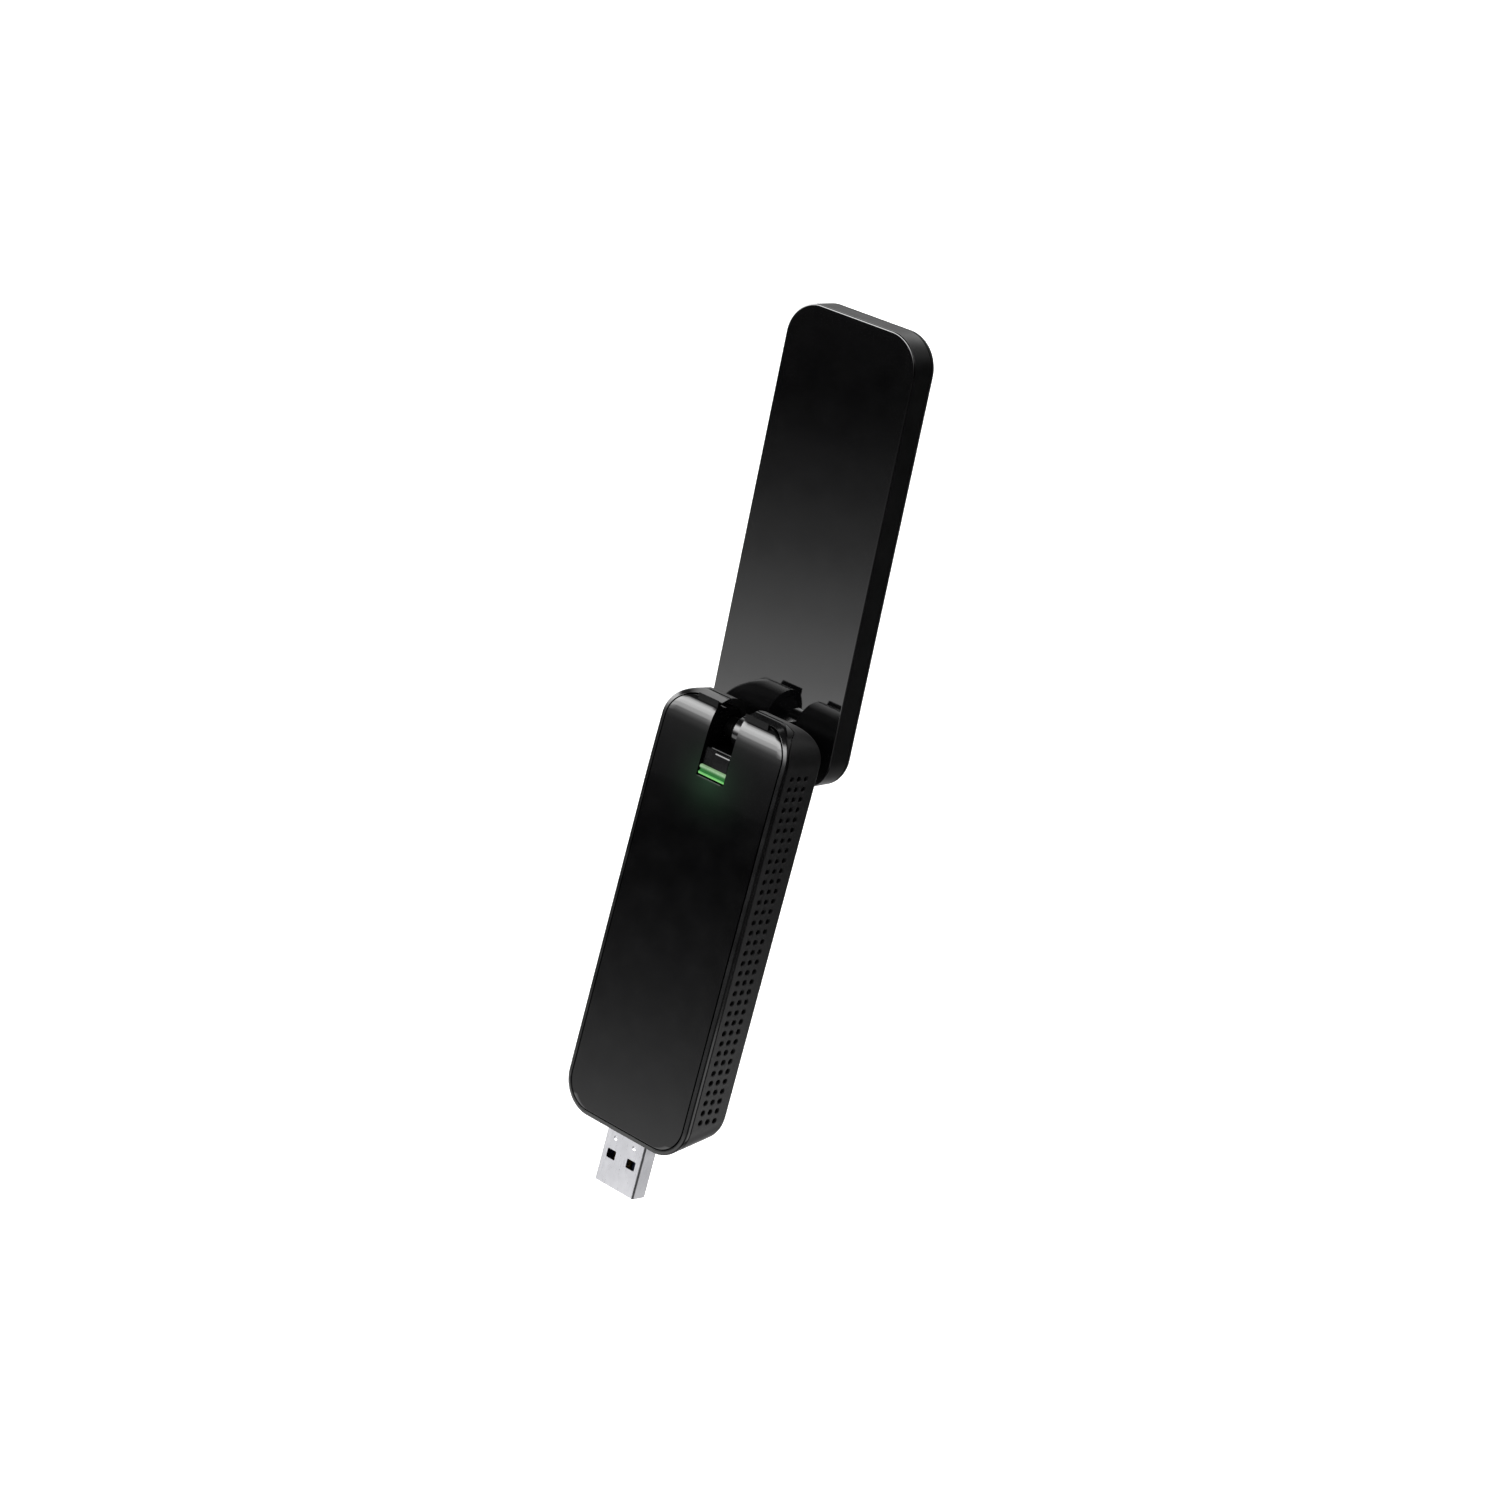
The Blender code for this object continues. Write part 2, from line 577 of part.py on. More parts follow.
def panel_back_cover(surface, hinge):
    """Back cover with softened edges."""
    start = PANEL_REACH + PANEL_SPLIT + GAP
    back = PANEL_REACH + PANEL_DEPTH
    bevel = 0.6 * MM
    plate = loft(
        panel_ring(start, 0), panel_ring(back - bevel, 0),
        panel_ring(back - 0.3 * bevel, 0.3 * bevel), panel_ring(back, bevel),
    )
    return finish(to_object("panel_back_cover", plate), surface, hinge)


def hinge_arm(surface, hinge):
    """Knuckle round the pin, a web out to the panel and a foot plate inside it."""
    reach = PANEL_REACH
    web_end = reach + (FOOT_FRONT + FOOT_BACK) / 2
    left, right = KNUCKLE_LEFT, KNUCKLE_RIGHT
    knuckle = rod("X", (0, 0), KNUCKLE_RADIUS, left, right, 32)
    web = block((left, 0, -ARM_HALF), (right, web_end, ARM_HALF))
    foot = block((-7.6 * MM, reach + FOOT_FRONT, -4.2 * MM), (10.2 * MM, reach + FOOT_BACK, 4.2 * MM))
    holes = [rod("Y", place, SCREW_HOLE, reach + MM, reach + 5 * MM, 8) for place in foot_screw_places()]
    bore = rod("X", (0, 0), PIN_RADIUS + PIN_PLAY, left - MM, right + MM, 16)
    item = combine(
        "hinge_arm", knuckle, ("UNION", web), ("UNION", foot), ("DIFFERENCE", join_shapes(holes)),
        ("DIFFERENCE", bore),
    )
    return finish(item, surface, hinge)


def foot_screws(surface, hinge):
    for number, place in enumerate(foot_screw_places(), 1):
        seat = PANEL_REACH + FOOT_BACK + GAP
        head = rod("Y", place, 1.4 * MM, seat, seat + 0.7 * MM, 12)
        shank = rod("Y", place, SCREW_SHANK, PANEL_REACH + 1.1 * MM, seat + 0.3 * MM, 8)
        finish(combine(f"foot_screw_{number}", head, ("UNION", shank)), surface, hinge)


def antenna_board(surface, hinge):
    """Thin board that carries the antenna elements above the arm's foot."""
    front = PANEL_REACH + 2.3 * MM
    outline = rounded_outline(-15.5 * MM, 15.5 * MM, 7 * MM, PANEL_LENGTH - PANEL_DROP - 3 * MM, 5 * MM, 3)
    item = to_object("antenna_board", prism(outline, "Y", front, front + 0.6 * MM))
    return finish(item, surface, hinge, smooth=False)


def antenna_elements(surface, hinge):
    """Four printed dipole arms, two side by side and two above each other, each an L of copper."""
    back = PANEL_REACH + 2.3 * MM - GAP
    front = back - 0.2 * MM
    number = 0
    for side in (-1, 1):
        for low in (12 * MM, 52 * MM):
            number += 1
            stem_low, stem_high = sorted((side * 3 * MM, side * 5 * MM))
            stem = block((stem_low, front, low), (stem_high, back, low + 34 * MM))
            arm_low, arm_high = sorted((side * 3 * MM, side * 13 * MM))
            arm = block((arm_low, front, low + 31 * MM), (arm_high, back, low + 34 * MM))
            item = combine(f"antenna_element_{number}", stem, ("UNION", arm))
            finish(item, surface, hinge, smooth=False)


# ---------------------------------------------------------------- coaxial leads
def lead(name, points, surface, parent=None):
    """Thin round lead along a few points, as a capped tube."""
    curve = bpy.data.curves.new(name, "CURVE")
    curve.dimensions = "3D"
    curve.bevel_depth = LEAD_RADIUS
    curve.bevel_resolution = 1
    curve.use_fill_caps = True
    spline = curve.splines.new("POLY")
    spline.points.add(len(points) - 1)
    for point, place in zip(spline.points, points):
        point.co = (*place, 1.0)
    curve.materials.append(surface)
    item = bpy.data.objects.new(name, curve)
    bpy.context.scene.collection.objects.link(item)
    if parent:
        item.parent = parent


def smooth_path(control, count):
    """Points along a smooth curve through the control points."""
    ends = [control[0] * 2 - control[1]] + control + [control[-1] * 2 - control[-2]]
    path = []
    for index in range(len(control) - 1):
        before, start, end, after = ends[index:index + 4]
        for step in range(count):
            t = step / count
            path.append(0.5 * (
                2 * start + (end - before) * t + (2 * before - 5 * start + 4 * end - after) * t ** 2
                + (3 * start - before - 3 * end + after) * t ** 3
            ))
    path.append(control[-1])
    return path


def body_leads(surface, socket_surface):
    """Two leads from sockets on the board up beside the hinge's left cheek."""
    for number, offset in enumerate((0.0, 2.0 * MM), 1):
        socket_x = -8.0 * MM - 3.5 * offset
        socket_z = 76 * MM
        box_on_board(
            f"antenna_socket_{number}", socket_surface,
            socket_x - 1.3 * MM, socket_x + 1.3 * MM, socket_z - 1.3 * MM, socket_z + 1.3 * MM, 1.2 * MM,
        )
        plane = BOARD_FRONT - 0.9 * MM
        control = [
            Vector((socket_x, plane, BODY_BOTTOM + socket_z + 1.3 * MM + GAP)),
            Vector((socket_x, plane, BODY_BOTTOM + 82 * MM)),
            Vector((-8.2 * MM - offset, plane, BODY_BOTTOM + 88 * MM)),
            Vector((-8.2 * MM - offset, HINGE_Y, HINGE_Z)),
        ]
        lead(f"coax_lead_{number}", smooth_path(control, 4), surface)


def panel_leads(surface, hinge):
    """Two leads from the arm's foot to the antenna board's solder points."""
    plane = PANEL_REACH + 3.85 * MM
    for number, x in enumerate((-2.2 * MM, 5.2 * MM), 1):
        control = [
            Vector((x, plane, -1 * MM)),
            Vector((x, plane, 5 * MM)),
            Vector((x * 1.4, plane, 12 * MM)),
            Vector((x * 1.4, plane, 18 * MM)),
        ]
        lead(f"panel_lead_{number}", smooth_path(control, 4), surface, hinge)


# ---------------------------------------------------------------- the whole adapter
def build():
    clear_scene()
    gloss = material("gloss_black", (0.012, 0.012, 0.013), 0.12)
    satin = material("satin_black", (0.03, 0.03, 0.031), 0.45)
    hinge_black = material("hinge_black", (0.015, 0.015, 0.016), 0.3)
    steel = material("plated_steel", (0.72, 0.72, 0.74), 0.28, 1.0)
    gold = material("contact_gold", (0.83, 0.62, 0.25), 0.25, 1.0)
    tongue = material("tongue_blue", (0.02, 0.09, 0.35), 0.4)
    board = material("board_green", (0.02, 0.13, 0.06), 0.5)
    chip = material("chip_black", (0.02, 0.02, 0.02), 0.5)
    pad = material("thermal_grey", (0.35, 0.36, 0.4), 0.8)
    lens = material("light_green", (0.25, 0.9, 0.35), 0.2)
    paper = material("label_grey", (0.08, 0.08, 0.085), 0.55)
    copper = material("antenna_copper", (0.75, 0.38, 0.2), 0.35, 1.0)
    jacket = material("lead_grey", (0.12, 0.12, 0.13), 0.5)

    front_cover(gloss)
    trim_rim(gloss)
    housing_shell(satin)
    rating_label(paper)
    usb_shell(steel)
    usb_tongue(tongue)
    usb_contacts(gold)
    main_board(board)
    board_screws(steel)
    shield_can(steel)
    box_on_board("wifi_chip", chip, -5 * MM, 5 * MM, 42 * MM, 52 * MM, CHIP_HEIGHT)
    pad_lift = CHIP_HEIGHT + 2 * GAP
    box_on_board("thermal_pad", pad, -4.5 * MM, 4.5 * MM, 42.5 * MM, 51.5 * MM, 0.6 * MM, pad_lift)
    box_on_board("crystal", steel, -9 * MM, -6.5 * MM, 38 * MM, 40 * MM, 0.7 * MM)
    box_on_board("voltage_regulator", chip, 4 * MM, 7 * MM, 22 * MM, 25 * MM, 1.0 * MM)
    box_on_board("power_inductor", pad, -6 * MM, -2 * MM, 20 * MM, 24 * MM, 1.8 * MM)
    box_on_board("led_chip", lens, -1.2 * MM, 0.4 * MM, 85.4 * MM, 86.4 * MM, 0.8 * MM)
    light_guide(lens)
    hinge_cradle(hinge_black)
    hinge_pin(steel)
    friction_clutch(chip)
    body_leads(jacket, gold)

    hinge = bpy.data.objects.new("hinge_axis", None)
    bpy.context.scene.collection.objects.link(hinge)
    hinge.matrix_world = Matrix.Translation((0, HINGE_Y, HINGE_Z)) @ Matrix.Rotation(PANEL_LEAN, 4, "X")
    hinge_arm(hinge_black, hinge)
    panel_front_shell(gloss, hinge)
    panel_back_cover(satin, hinge)
    foot_screws(steel, hinge)
    antenna_board(board, hinge)
    antenna_elements(copper, hinge)
    panel_leads(jacket, hinge)


build()
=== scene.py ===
import json
import math

import bmesh
import bpy
from mathutils import Matrix, Vector


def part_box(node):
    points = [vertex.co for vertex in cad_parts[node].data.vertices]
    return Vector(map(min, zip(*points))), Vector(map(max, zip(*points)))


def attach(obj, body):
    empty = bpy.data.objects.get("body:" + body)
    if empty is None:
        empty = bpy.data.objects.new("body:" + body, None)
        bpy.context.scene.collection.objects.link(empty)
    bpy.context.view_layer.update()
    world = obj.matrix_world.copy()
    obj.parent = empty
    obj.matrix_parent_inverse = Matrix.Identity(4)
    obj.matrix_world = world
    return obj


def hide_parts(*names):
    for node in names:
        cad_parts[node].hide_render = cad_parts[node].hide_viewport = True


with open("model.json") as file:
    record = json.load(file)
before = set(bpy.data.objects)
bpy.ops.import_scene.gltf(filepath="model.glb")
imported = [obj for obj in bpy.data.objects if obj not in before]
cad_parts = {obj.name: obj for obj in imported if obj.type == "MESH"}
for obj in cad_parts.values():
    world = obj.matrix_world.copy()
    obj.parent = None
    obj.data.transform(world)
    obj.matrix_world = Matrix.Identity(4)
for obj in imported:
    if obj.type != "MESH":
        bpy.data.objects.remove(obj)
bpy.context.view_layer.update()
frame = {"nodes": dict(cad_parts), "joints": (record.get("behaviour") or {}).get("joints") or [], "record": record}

# Finished look of a USB wireless adapter with a fold-out antenna panel.
# Metres, +Z along the body away from the plug, the glossy front faces -Y, the width runs along X.

MM = 0.001
GAP = 0.3 * MM

# ---------------------------------------------------------------- sizes read from the frame
rim_low, rim_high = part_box("trim_rim")
housing_low, housing_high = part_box("housing_shell")
lens_low, lens_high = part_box("light_guide")
plug_low, plug_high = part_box("usb_shell")
label_low, label_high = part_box("rating_label")
clutch_low, clutch_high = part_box("friction_clutch")

HALF_WIDTH = housing_high.x
FRONT = rim_low.y
BACK = housing_high.y
BOTTOM = rim_low.z
TOP = housing_high.z
HINGE = Vector(frame["joints"][0]["pos_m"])
NOTCH_LEFT = lens_low.x - GAP
NOTCH_RIGHT = lens_high.x + GAP
NOTCH_BOTTOM = lens_low.z - GAP
LIGHT_TOP = lens_high.z
LIGHT_MIDDLE = (lens_low + lens_high) / 2

# ---------------------------------------------------------------- sizes of the skins
CORNER = 8.2 * MM          # corner radius of the front outline
ROUND = (BACK - FRONT) / 2  # the top end is a half round seen from the side
ROUND_Y = FRONT + ROUND
ROUND_Z = TOP - ROUND
SHOULDER = 22.0 * MM       # length over which the front eases into the round top
SHOULDER_POWER = 10        # how late and how tightly it turns there
CROWN_START = BOTTOM + 72.0 * MM   # above this the front bows back very slightly
CROWN_RATE = 0.58 / 1000 / MM      # how fast it bows back, per square of the height above the start
BOTTOM_RISE = 0.22         # rise of the bottom face per unit of depth
SKIN = 1.2 * MM            # thickness of the cover and the rim
RIM_WIDTH = 1.15 * MM
COVER_INSET = 1.45 * MM    # from the body's outline to the cover's edge; the rest is the seam
RIM_END = FRONT + 5.3 * MM  # how far back the rim runs over the round top
RIM_FILLET = 0.35 * MM
RIM_SLOPE = 0.16 * MM      # how much the rim's face falls back towards its outer edge
BACK_FILLET = 0.6 * MM
BACK_LIP = 0.12 * MM       # small chamfer where the housing meets the rim
BACK_INSETS = (1.3, 1.8, 2.4, 3.2, 4.2, 5.4, 6.6)  # mm; rings that carry the back's skin inwards
WALL = 1.6 * MM
INNER_INSETS = (WALL / MM, 2.2, 3.0, 4.2, 5.4, 6.6)  # mm; the same for the housing's inner skin
SLOT_BOTTOM = NOTCH_BOTTOM + 6.6 * MM
BOSS_RADIUS = 2.0 * MM
BOARD_SCREW_HOLE = 0.8 * MM
VENT_ROWS = 35
VENT_COLUMNS = 3
VENT_PITCH = Vector((0.0, 2.44 * MM, 2.40 * MM))
VENT_RADIUS = 0.62 * MM
VENT_MOUTH = 0.16 * MM     # flare of each vent's mouth
VENT_FIRST = Vector((0.0, FRONT + 3.85 * MM, BOTTOM + 92.0 * MM))
KNUCKLE_LEFT = -0.9 * MM
KNUCKLE_RIGHT = NOTCH_RIGHT - GAP
KNUCKLE_RADIUS = 3.9 * MM
KNUCKLE_ROUNDING = 0.45 * MM
PIN_RADIUS = 0.9 * MM
PIN_PLAY = 0.05 * MM       # radial clearance round the pin
CHEEK = 1.6 * MM           # how far the fork reaches into the body on each side of the notch
ARM_HALF = 2.5 * MM
ARM_EDGE = 0.35 * MM
CHIN_RECESS = 1.0 * MM     # how deep the slot's left part goes beside the chin
PANEL_HALF = 18.35 * MM
PANEL_LOW = -9.7 * MM      # below the hinge axis
PANEL_HIGH = 94.5 * MM     # above the hinge axis
PANEL_REACH = 8.6 * MM     # from the hinge axis to the glossy face
PANEL_DEPTH = 7.2 * MM
PANEL_SPLIT = 5.8 * MM
PANEL_WALL = 1.4 * MM
PANEL_LEAN = math.radians(4.75)
PANEL_EDGE = 0.35 * MM     # rounding of the face's edge
PANEL_BACK_EDGE = 0.8 * MM
PARTING = 0.12 * MM        # chamfer on each side of the panel's parting line
FOOT_LEFT, FOOT_RIGHT, FOOT_HALF = -7.6 * MM, 10.2 * MM, 4.2 * MM
FOOT_START, FOOT_END = PANEL_REACH + 2.2 * MM, PANEL_REACH + 3.2 * MM
FOOT_SCREW_HOLE = 0.9 * MM
PAD_RADIUS = 1.9 * MM
BOARD_FRONT = FRONT + 6.1 * MM
BOARD_THICK = 1.0 * MM
PLUG_WALL, PLUG_EDGE = 0.3 * MM, 0.12 * MM  # sheet thickness, and rounding of the rolled tip
WINDOW_X, WINDOW_DROP = 3.07 * MM, 6.7 * MM  # latch windows: from the middle, and below the body
WINDOW_HALF_X, WINDOW_HALF_Z = 1.3 * MM, 1.1 * MM
DIMPLE_X, DIMPLE_DROP = 2.9 * MM, 2.6 * MM
DIMPLE_PROFILE = ((0.62, 0.02), (0.55, -0.02), (0.42, -0.10), (0.22, -0.15), (0.06, -0.165))  # mm
CORNER_STEPS = 20
FILLET_STEPS = 8


# ---------------------------------------------------------------- outlines and surfaces
def arc(centre, radius, start, end, steps):
    """Points on a circle, from one angle to another in degrees."""
    points = []
    for step in range(steps + 1):
        angle = math.radians(start + (end - start) * step / steps)
        points.append((centre[0] + radius * math.cos(angle), centre[1] + radius * math.sin(angle)))
    return points


def rounded_outline(left, right, low, high, radius, steps=CORNER_STEPS):
    points = arc((right - radius, high - radius), radius, 0, 90, steps)
    points += arc((left + radius, high - radius), radius, 90, 180, steps)
    points += arc((left + radius, low + radius), radius, 180, 270, steps)
    points += arc((right - radius, low + radius), radius, 270, 360, steps)
    return points


def front_depth(z):
    """y of the front skin at height z: flat, then slightly crowned, easing into the round top."""
    share = min(max((z - (TOP - SHOULDER)) / SHOULDER, 0.0), 1.0)
    crown = CROWN_RATE * max(z - CROWN_START, 0.0) ** 2
    return ROUND_Y - (ROUND - crown) * math.sqrt(max(1.0 - share ** SHOULDER_POWER, 0.0))


def back_depth(z):
    """y of the back skin at height z: flat, then the back half of the round top."""
    rise = min(max(z - ROUND_Z, 0.0), ROUND)
    return ROUND_Y + math.sqrt(ROUND ** 2 - rise ** 2)


def rim_back(z):
    """y where the rim ends and the housing begins, for an outline point at height z."""
    inner = ROUND - SKIN
    rise = z - ROUND_Z
    if rise <= 0:
        return FRONT + SKIN
    if rise >= inner:
        return RIM_END
    return min(ROUND_Y - math.sqrt(inner ** 2 - rise ** 2), RIM_END)


def body_path():
    """The body's outline, clockwise from the notch's right: (kind, place, turn) for each point."""
    half, radius = HALF_WIDTH, CORNER
    path = []
    for x in (NOTCH_RIGHT, (NOTCH_RIGHT + half - radius) / 2):
        path.append(("top", x, None))
    high, low = TOP - radius, BOTTOM + radius

    def corner(x, z, start):
        return [("corner", (x, z), start - 90 * k / CORNER_STEPS) for k in range(CORNER_STEPS + 1)]

    steps = side_steps(low, high)
    path += corner(half - radius, high, 90)
    path += [("side", z, 1) for z in steps]
    path += corner(half - radius, low, 0)
    path.append(("bottom", 0.0, None))
    path += corner(radius - half, low, -90)
    path += [("side", z, -1) for z in reversed(steps)]
    path += corner(radius - half, high, 180)
    path += [("top", (NOTCH_LEFT + radius - half) / 2, None), ("top", NOTCH_LEFT, None)]
    return path


def side_steps(low, high):
    """Heights along a straight side, close together where the front eases into the round."""
    steps = []
    z = high - MM
    while z > TOP - SHOULDER:
        steps.append(z)
        z -= MM
    steps.append((low + z) / 2)
    return steps


def place(point, inset):
    """(x, z) of a point of body_path, drawn in by inset."""
    kind, where, turn = point
    if kind == "top":
        return where, TOP - inset
    if kind == "bottom":
        return where, BOTTOM + inset
    if kind == "side":
        return turn * (HALF_WIDTH - inset), where
    angle = math.radians(turn)
    reach = CORNER - inset
    return where[0] + reach * math.cos(angle), where[1] + reach * math.sin(angle)


def lowered(point, z, y):
    """Height of a point at depth y: the whole lower end rises towards the back."""
    kind, where, turn = point
    lower_end = kind == "bottom" or (kind == "corner" and where[1] < (BOTTOM + TOP) / 2)
    return z + BOTTOM_RISE * (y - FRONT) if lower_end else z


# ---------------------------------------------------------------- mesh tools
def to_object(name, mesh):
    data = bpy.data.meshes.new(name)
    mesh.to_mesh(data)
    mesh.free()
    item = bpy.data.objects.new(name, data)
    bpy.context.scene.collection.objects.link(item)
    return item


def prism(points, axis, low, high):
    """A closed prism: a flat outline of (a, b) points drawn along X, Y or Z from low to high."""
    spot = {
        "X": lambda a, b, c: (c, a, b),
        "Y": lambda a, b, c: (a, c, b),
        "Z": lambda a, b, c: (a, b, c),
    }[axis]
    mesh = bmesh.new()
    lower = [mesh.verts.new(spot(a, b, low)) for a, b in points]
    upper = [mesh.verts.new(spot(a, b, high)) for a, b in points]
    mesh.faces.new(lower)
    mesh.faces.new(upper)
    for index in range(len(points)):
        following = (index + 1) % len(points)
        mesh.faces.new((lower[index], lower[following], upper[following], upper[index]))
    bmesh.ops.recalc_face_normals(mesh, faces=mesh.faces)
    return mesh


def block(low, high):
    corners = [(low[0], low[1]), (high[0], low[1]), (high[0], high[1]), (low[0], high[1])]
    return prism(corners, "Z", low[2], high[2])


def rod(axis, centre, radius, low, high, sides=48):
    ring = arc(centre, radius, 0, 360, sides)[:-1]
    return prism(ring, axis, low, high)


def loft(rings, caps=True):
    """A shape through rings of equally many points, given as (x, y, z)."""
    mesh = bmesh.new()
    levels = [[mesh.verts.new(point) for point in ring] for ring in rings]
    count = len(rings[0])
    for lower, upper in zip(levels, levels[1:]):
        for index in range(count):
            following = (index + 1) % count
            mesh.faces.new((lower[index], lower[following], upper[following], upper[index]))
    if caps:
        mesh.faces.new(levels[0])
        mesh.faces.new(levels[-1])
    bmesh.ops.remove_doubles(mesh, verts=mesh.verts, dist=0.002 * MM)
    bmesh.ops.recalc_face_normals(mesh, faces=mesh.faces)
    return mesh


def turned(profile, axis_y, axis_z, sides=64):
    """A solid turned about an axis along X, from (x, radius) points; it closes on itself."""
    rings = []
    for side in range(sides):
        angle = 2 * math.pi * side / sides
        across, up = math.cos(angle), math.sin(angle)
        rings.append([(x, axis_y + radius * across, axis_z + radius * up) for x, radius in profile])
    rings.append(rings[0])
    return loft(rings, caps=False)


def combine(name, first, *steps):
    """One closed body: a start shape and then (operation, shape) pairs, applied in turn."""
    item = to_object(name, first)
    for operation, shape in steps:
        tool = to_object(name + "_tool", shape)
        modifier = item.modifiers.new(operation, "BOOLEAN")
        modifier.operation = operation
        modifier.solver = "EXACT"
        modifier.object = tool
        graph = bpy.context.evaluated_depsgraph_get()
        result = bpy.data.meshes.new_from_object(item.evaluated_get(graph))
        item.modifiers.clear()
        item.data = result
        bpy.data.objects.remove(tool, do_unlink=True)
    item.data.name = name
    return item


def join_shapes(shapes):
    """Several separate shapes in one mesh, for one boolean step."""
    joined = bmesh.new()
    for shape in shapes:
        data = bpy.data.meshes.new("cutter")
        shape.to_mesh(data)
        shape.free()
        joined.from_mesh(data)
        bpy.data.meshes.remove(data)
    return joined


def soften(item, width, segments=3, angle=40):
    """Rounds the edges that turn by more than angle degrees."""
    bevel = item.modifiers.new("edges", "BEVEL")
    bevel.width = width
    bevel.segments = segments
    bevel.limit_method = "ANGLE"
    bevel.angle_limit = math.radians(angle)
    bevel.use_clamp_overlap = True


def finish(item, surface, body, nodes=(), smooth_angle=38):
    """Material, smooth shading with flat faces kept flat, and the CAD body that the piece rides on."""
    item.data.materials.clear()
    item.data.materials.append(surface)
    item.data.shade_smooth()
    item.data.set_sharp_from_angle(angle=math.radians(smooth_angle))
    weighted = item.modifiers.new("flat_faces", "WEIGHTED_NORMAL")
    weighted.keep_sharp = True
    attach(item, body)
    if nodes:
        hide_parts(*nodes)
    return item


# ---------------------------------------------------------------- materials
def new_material(name):
    made = bpy.data.materials.new(name)
    made.use_nodes = True
    tree = made.node_tree
    return made, tree, tree.nodes["Principled BSDF"]


def node(tree, kind, **values):
    made = tree.nodes.new(kind)
    for key, value in values.items():
        if key in made.inputs:
            made.inputs[key].default_value = value
        else:
            setattr(made, key, value)
    return made


def coordinates(tree, scale=(1.0, 1.0, 1.0)):
    """Object coordinates in metres, stretched per axis."""
    source = node(tree, "ShaderNodeTexCoord")
    mapping = node(tree, "ShaderNodeMapping")
    mapping.inputs["Scale"].default_value = scale
    tree.links.new(source.outputs["Object"], mapping.inputs["Vector"])
    return mapping.outputs["Vector"]


def noise(tree, vector, scale, detail=3.0):
    made = node(tree, "ShaderNodeTexNoise")
    made.inputs["Scale"].default_value = scale
    made.inputs["Detail"].default_value = detail
    tree.links.new(vector, made.inputs["Vector"])
    return made.outputs["Fac"]


def spread(tree, value, low, high, source_low=0.3, source_high=0.7):
    """Maps a texture value onto a range."""
    made = node(tree, "ShaderNodeMapRange")
    made.inputs["From Min"].default_value = source_low
    made.inputs["From Max"].default_value = source_high
    made.inputs["To Min"].default_value = low
    made.inputs["To Max"].default_value = high
    tree.links.new(value, made.inputs["Value"])
    return made.outputs["Result"]


def mixed_colour(tree, factor, first, second):
    """Mixes two colours by a factor; each one is a constant (red, green, blue) or a socket."""
    made = node(tree, "ShaderNodeMix", data_type="RGBA")
    sockets = [socket for socket in made.inputs if socket.type == "RGBA"]
    for socket, colour in zip(sockets, (first, second)):
        if isinstance(colour, tuple):
            socket.default_value = (*colour, 1.0)
        else:
            tree.links.new(colour, socket)
    tree.links.new(factor, made.inputs["Factor"])
    return [socket for socket in made.outputs if socket.type == "RGBA"][0]


def colour_ramp(tree, value, stops, interpolation="LINEAR"):
    """A ramp over a 0 to 1 value, from (position, (red, green, blue)) stops."""
    ramp = node(tree, "ShaderNodeValToRGB")
    ramp.color_ramp.interpolation = interpolation
    elements = ramp.color_ramp.elements
    while len(elements) < len(stops):
        elements.new(0.5)
    for element, (position, colour) in zip(elements, stops):
        element.position = position
        element.color = (*colour, 1.0)
    tree.links.new(value, ramp.inputs["Fac"])
    return ramp.outputs["Color"]


def multiplied(tree, first, second):
    """Product of a socket and either a number or another socket."""
    made = node(tree, "ShaderNodeMath", operation="MULTIPLY")
    tree.links.new(first, made.inputs[0])
    if isinstance(second, float):
        made.inputs[1].default_value = second
    else:
        tree.links.new(second, made.inputs[1])
    return made.outputs["Value"]


def bump(tree, height, strength, distance):
    made = node(tree, "ShaderNodeBump")
    made.inputs["Strength"].default_value = strength
    made.inputs["Distance"].default_value = distance
    tree.links.new(height, made.inputs["Height"])
    return made.outputs["Normal"]


def paler_edges(tree, colour_socket, edge_colour, amount):
    """Lightens a colour where the mesh turns a sharp corner."""
    geometry = node(tree, "ShaderNodeNewGeometry")
    edge = spread(tree, geometry.outputs["Pointiness"], 0.0, amount, 0.52, 0.62)
    return mixed_colour(tree, edge, colour_socket, edge_colour)


def plastic(name, dark, light, rough_low, rough_high, grain_scale, grain_depth, grain=0.3, edge_paling=0.1,
            specular=0.5):
    """Moulded plastic: cloudy colour and roughness, fine grain in the surface, paler edges."""
    made, tree, shader = new_material(name)
    vector = coordinates(tree)
    cloud = noise(tree, vector, 170.0, 4.0)
    fine = noise(tree, vector, grain_scale, 2.0)
    colour = mixed_colour(tree, spread(tree, cloud, 0.0, 1.0), dark, light)
    edge_colour = tuple(min(channel * 2.5 + 0.01, 1.0) for channel in light)
    tree.links.new(paler_edges(tree, colour, edge_colour, edge_paling), shader.inputs["Base Color"])
    tree.links.new(spread(tree, cloud, rough_low, rough_high), shader.inputs["Roughness"])
    tree.links.new(bump(tree, fine, grain, grain_depth), shader.inputs["Normal"])
    shader.inputs["Specular IOR Level"].default_value = specular
    return made, tree, shader


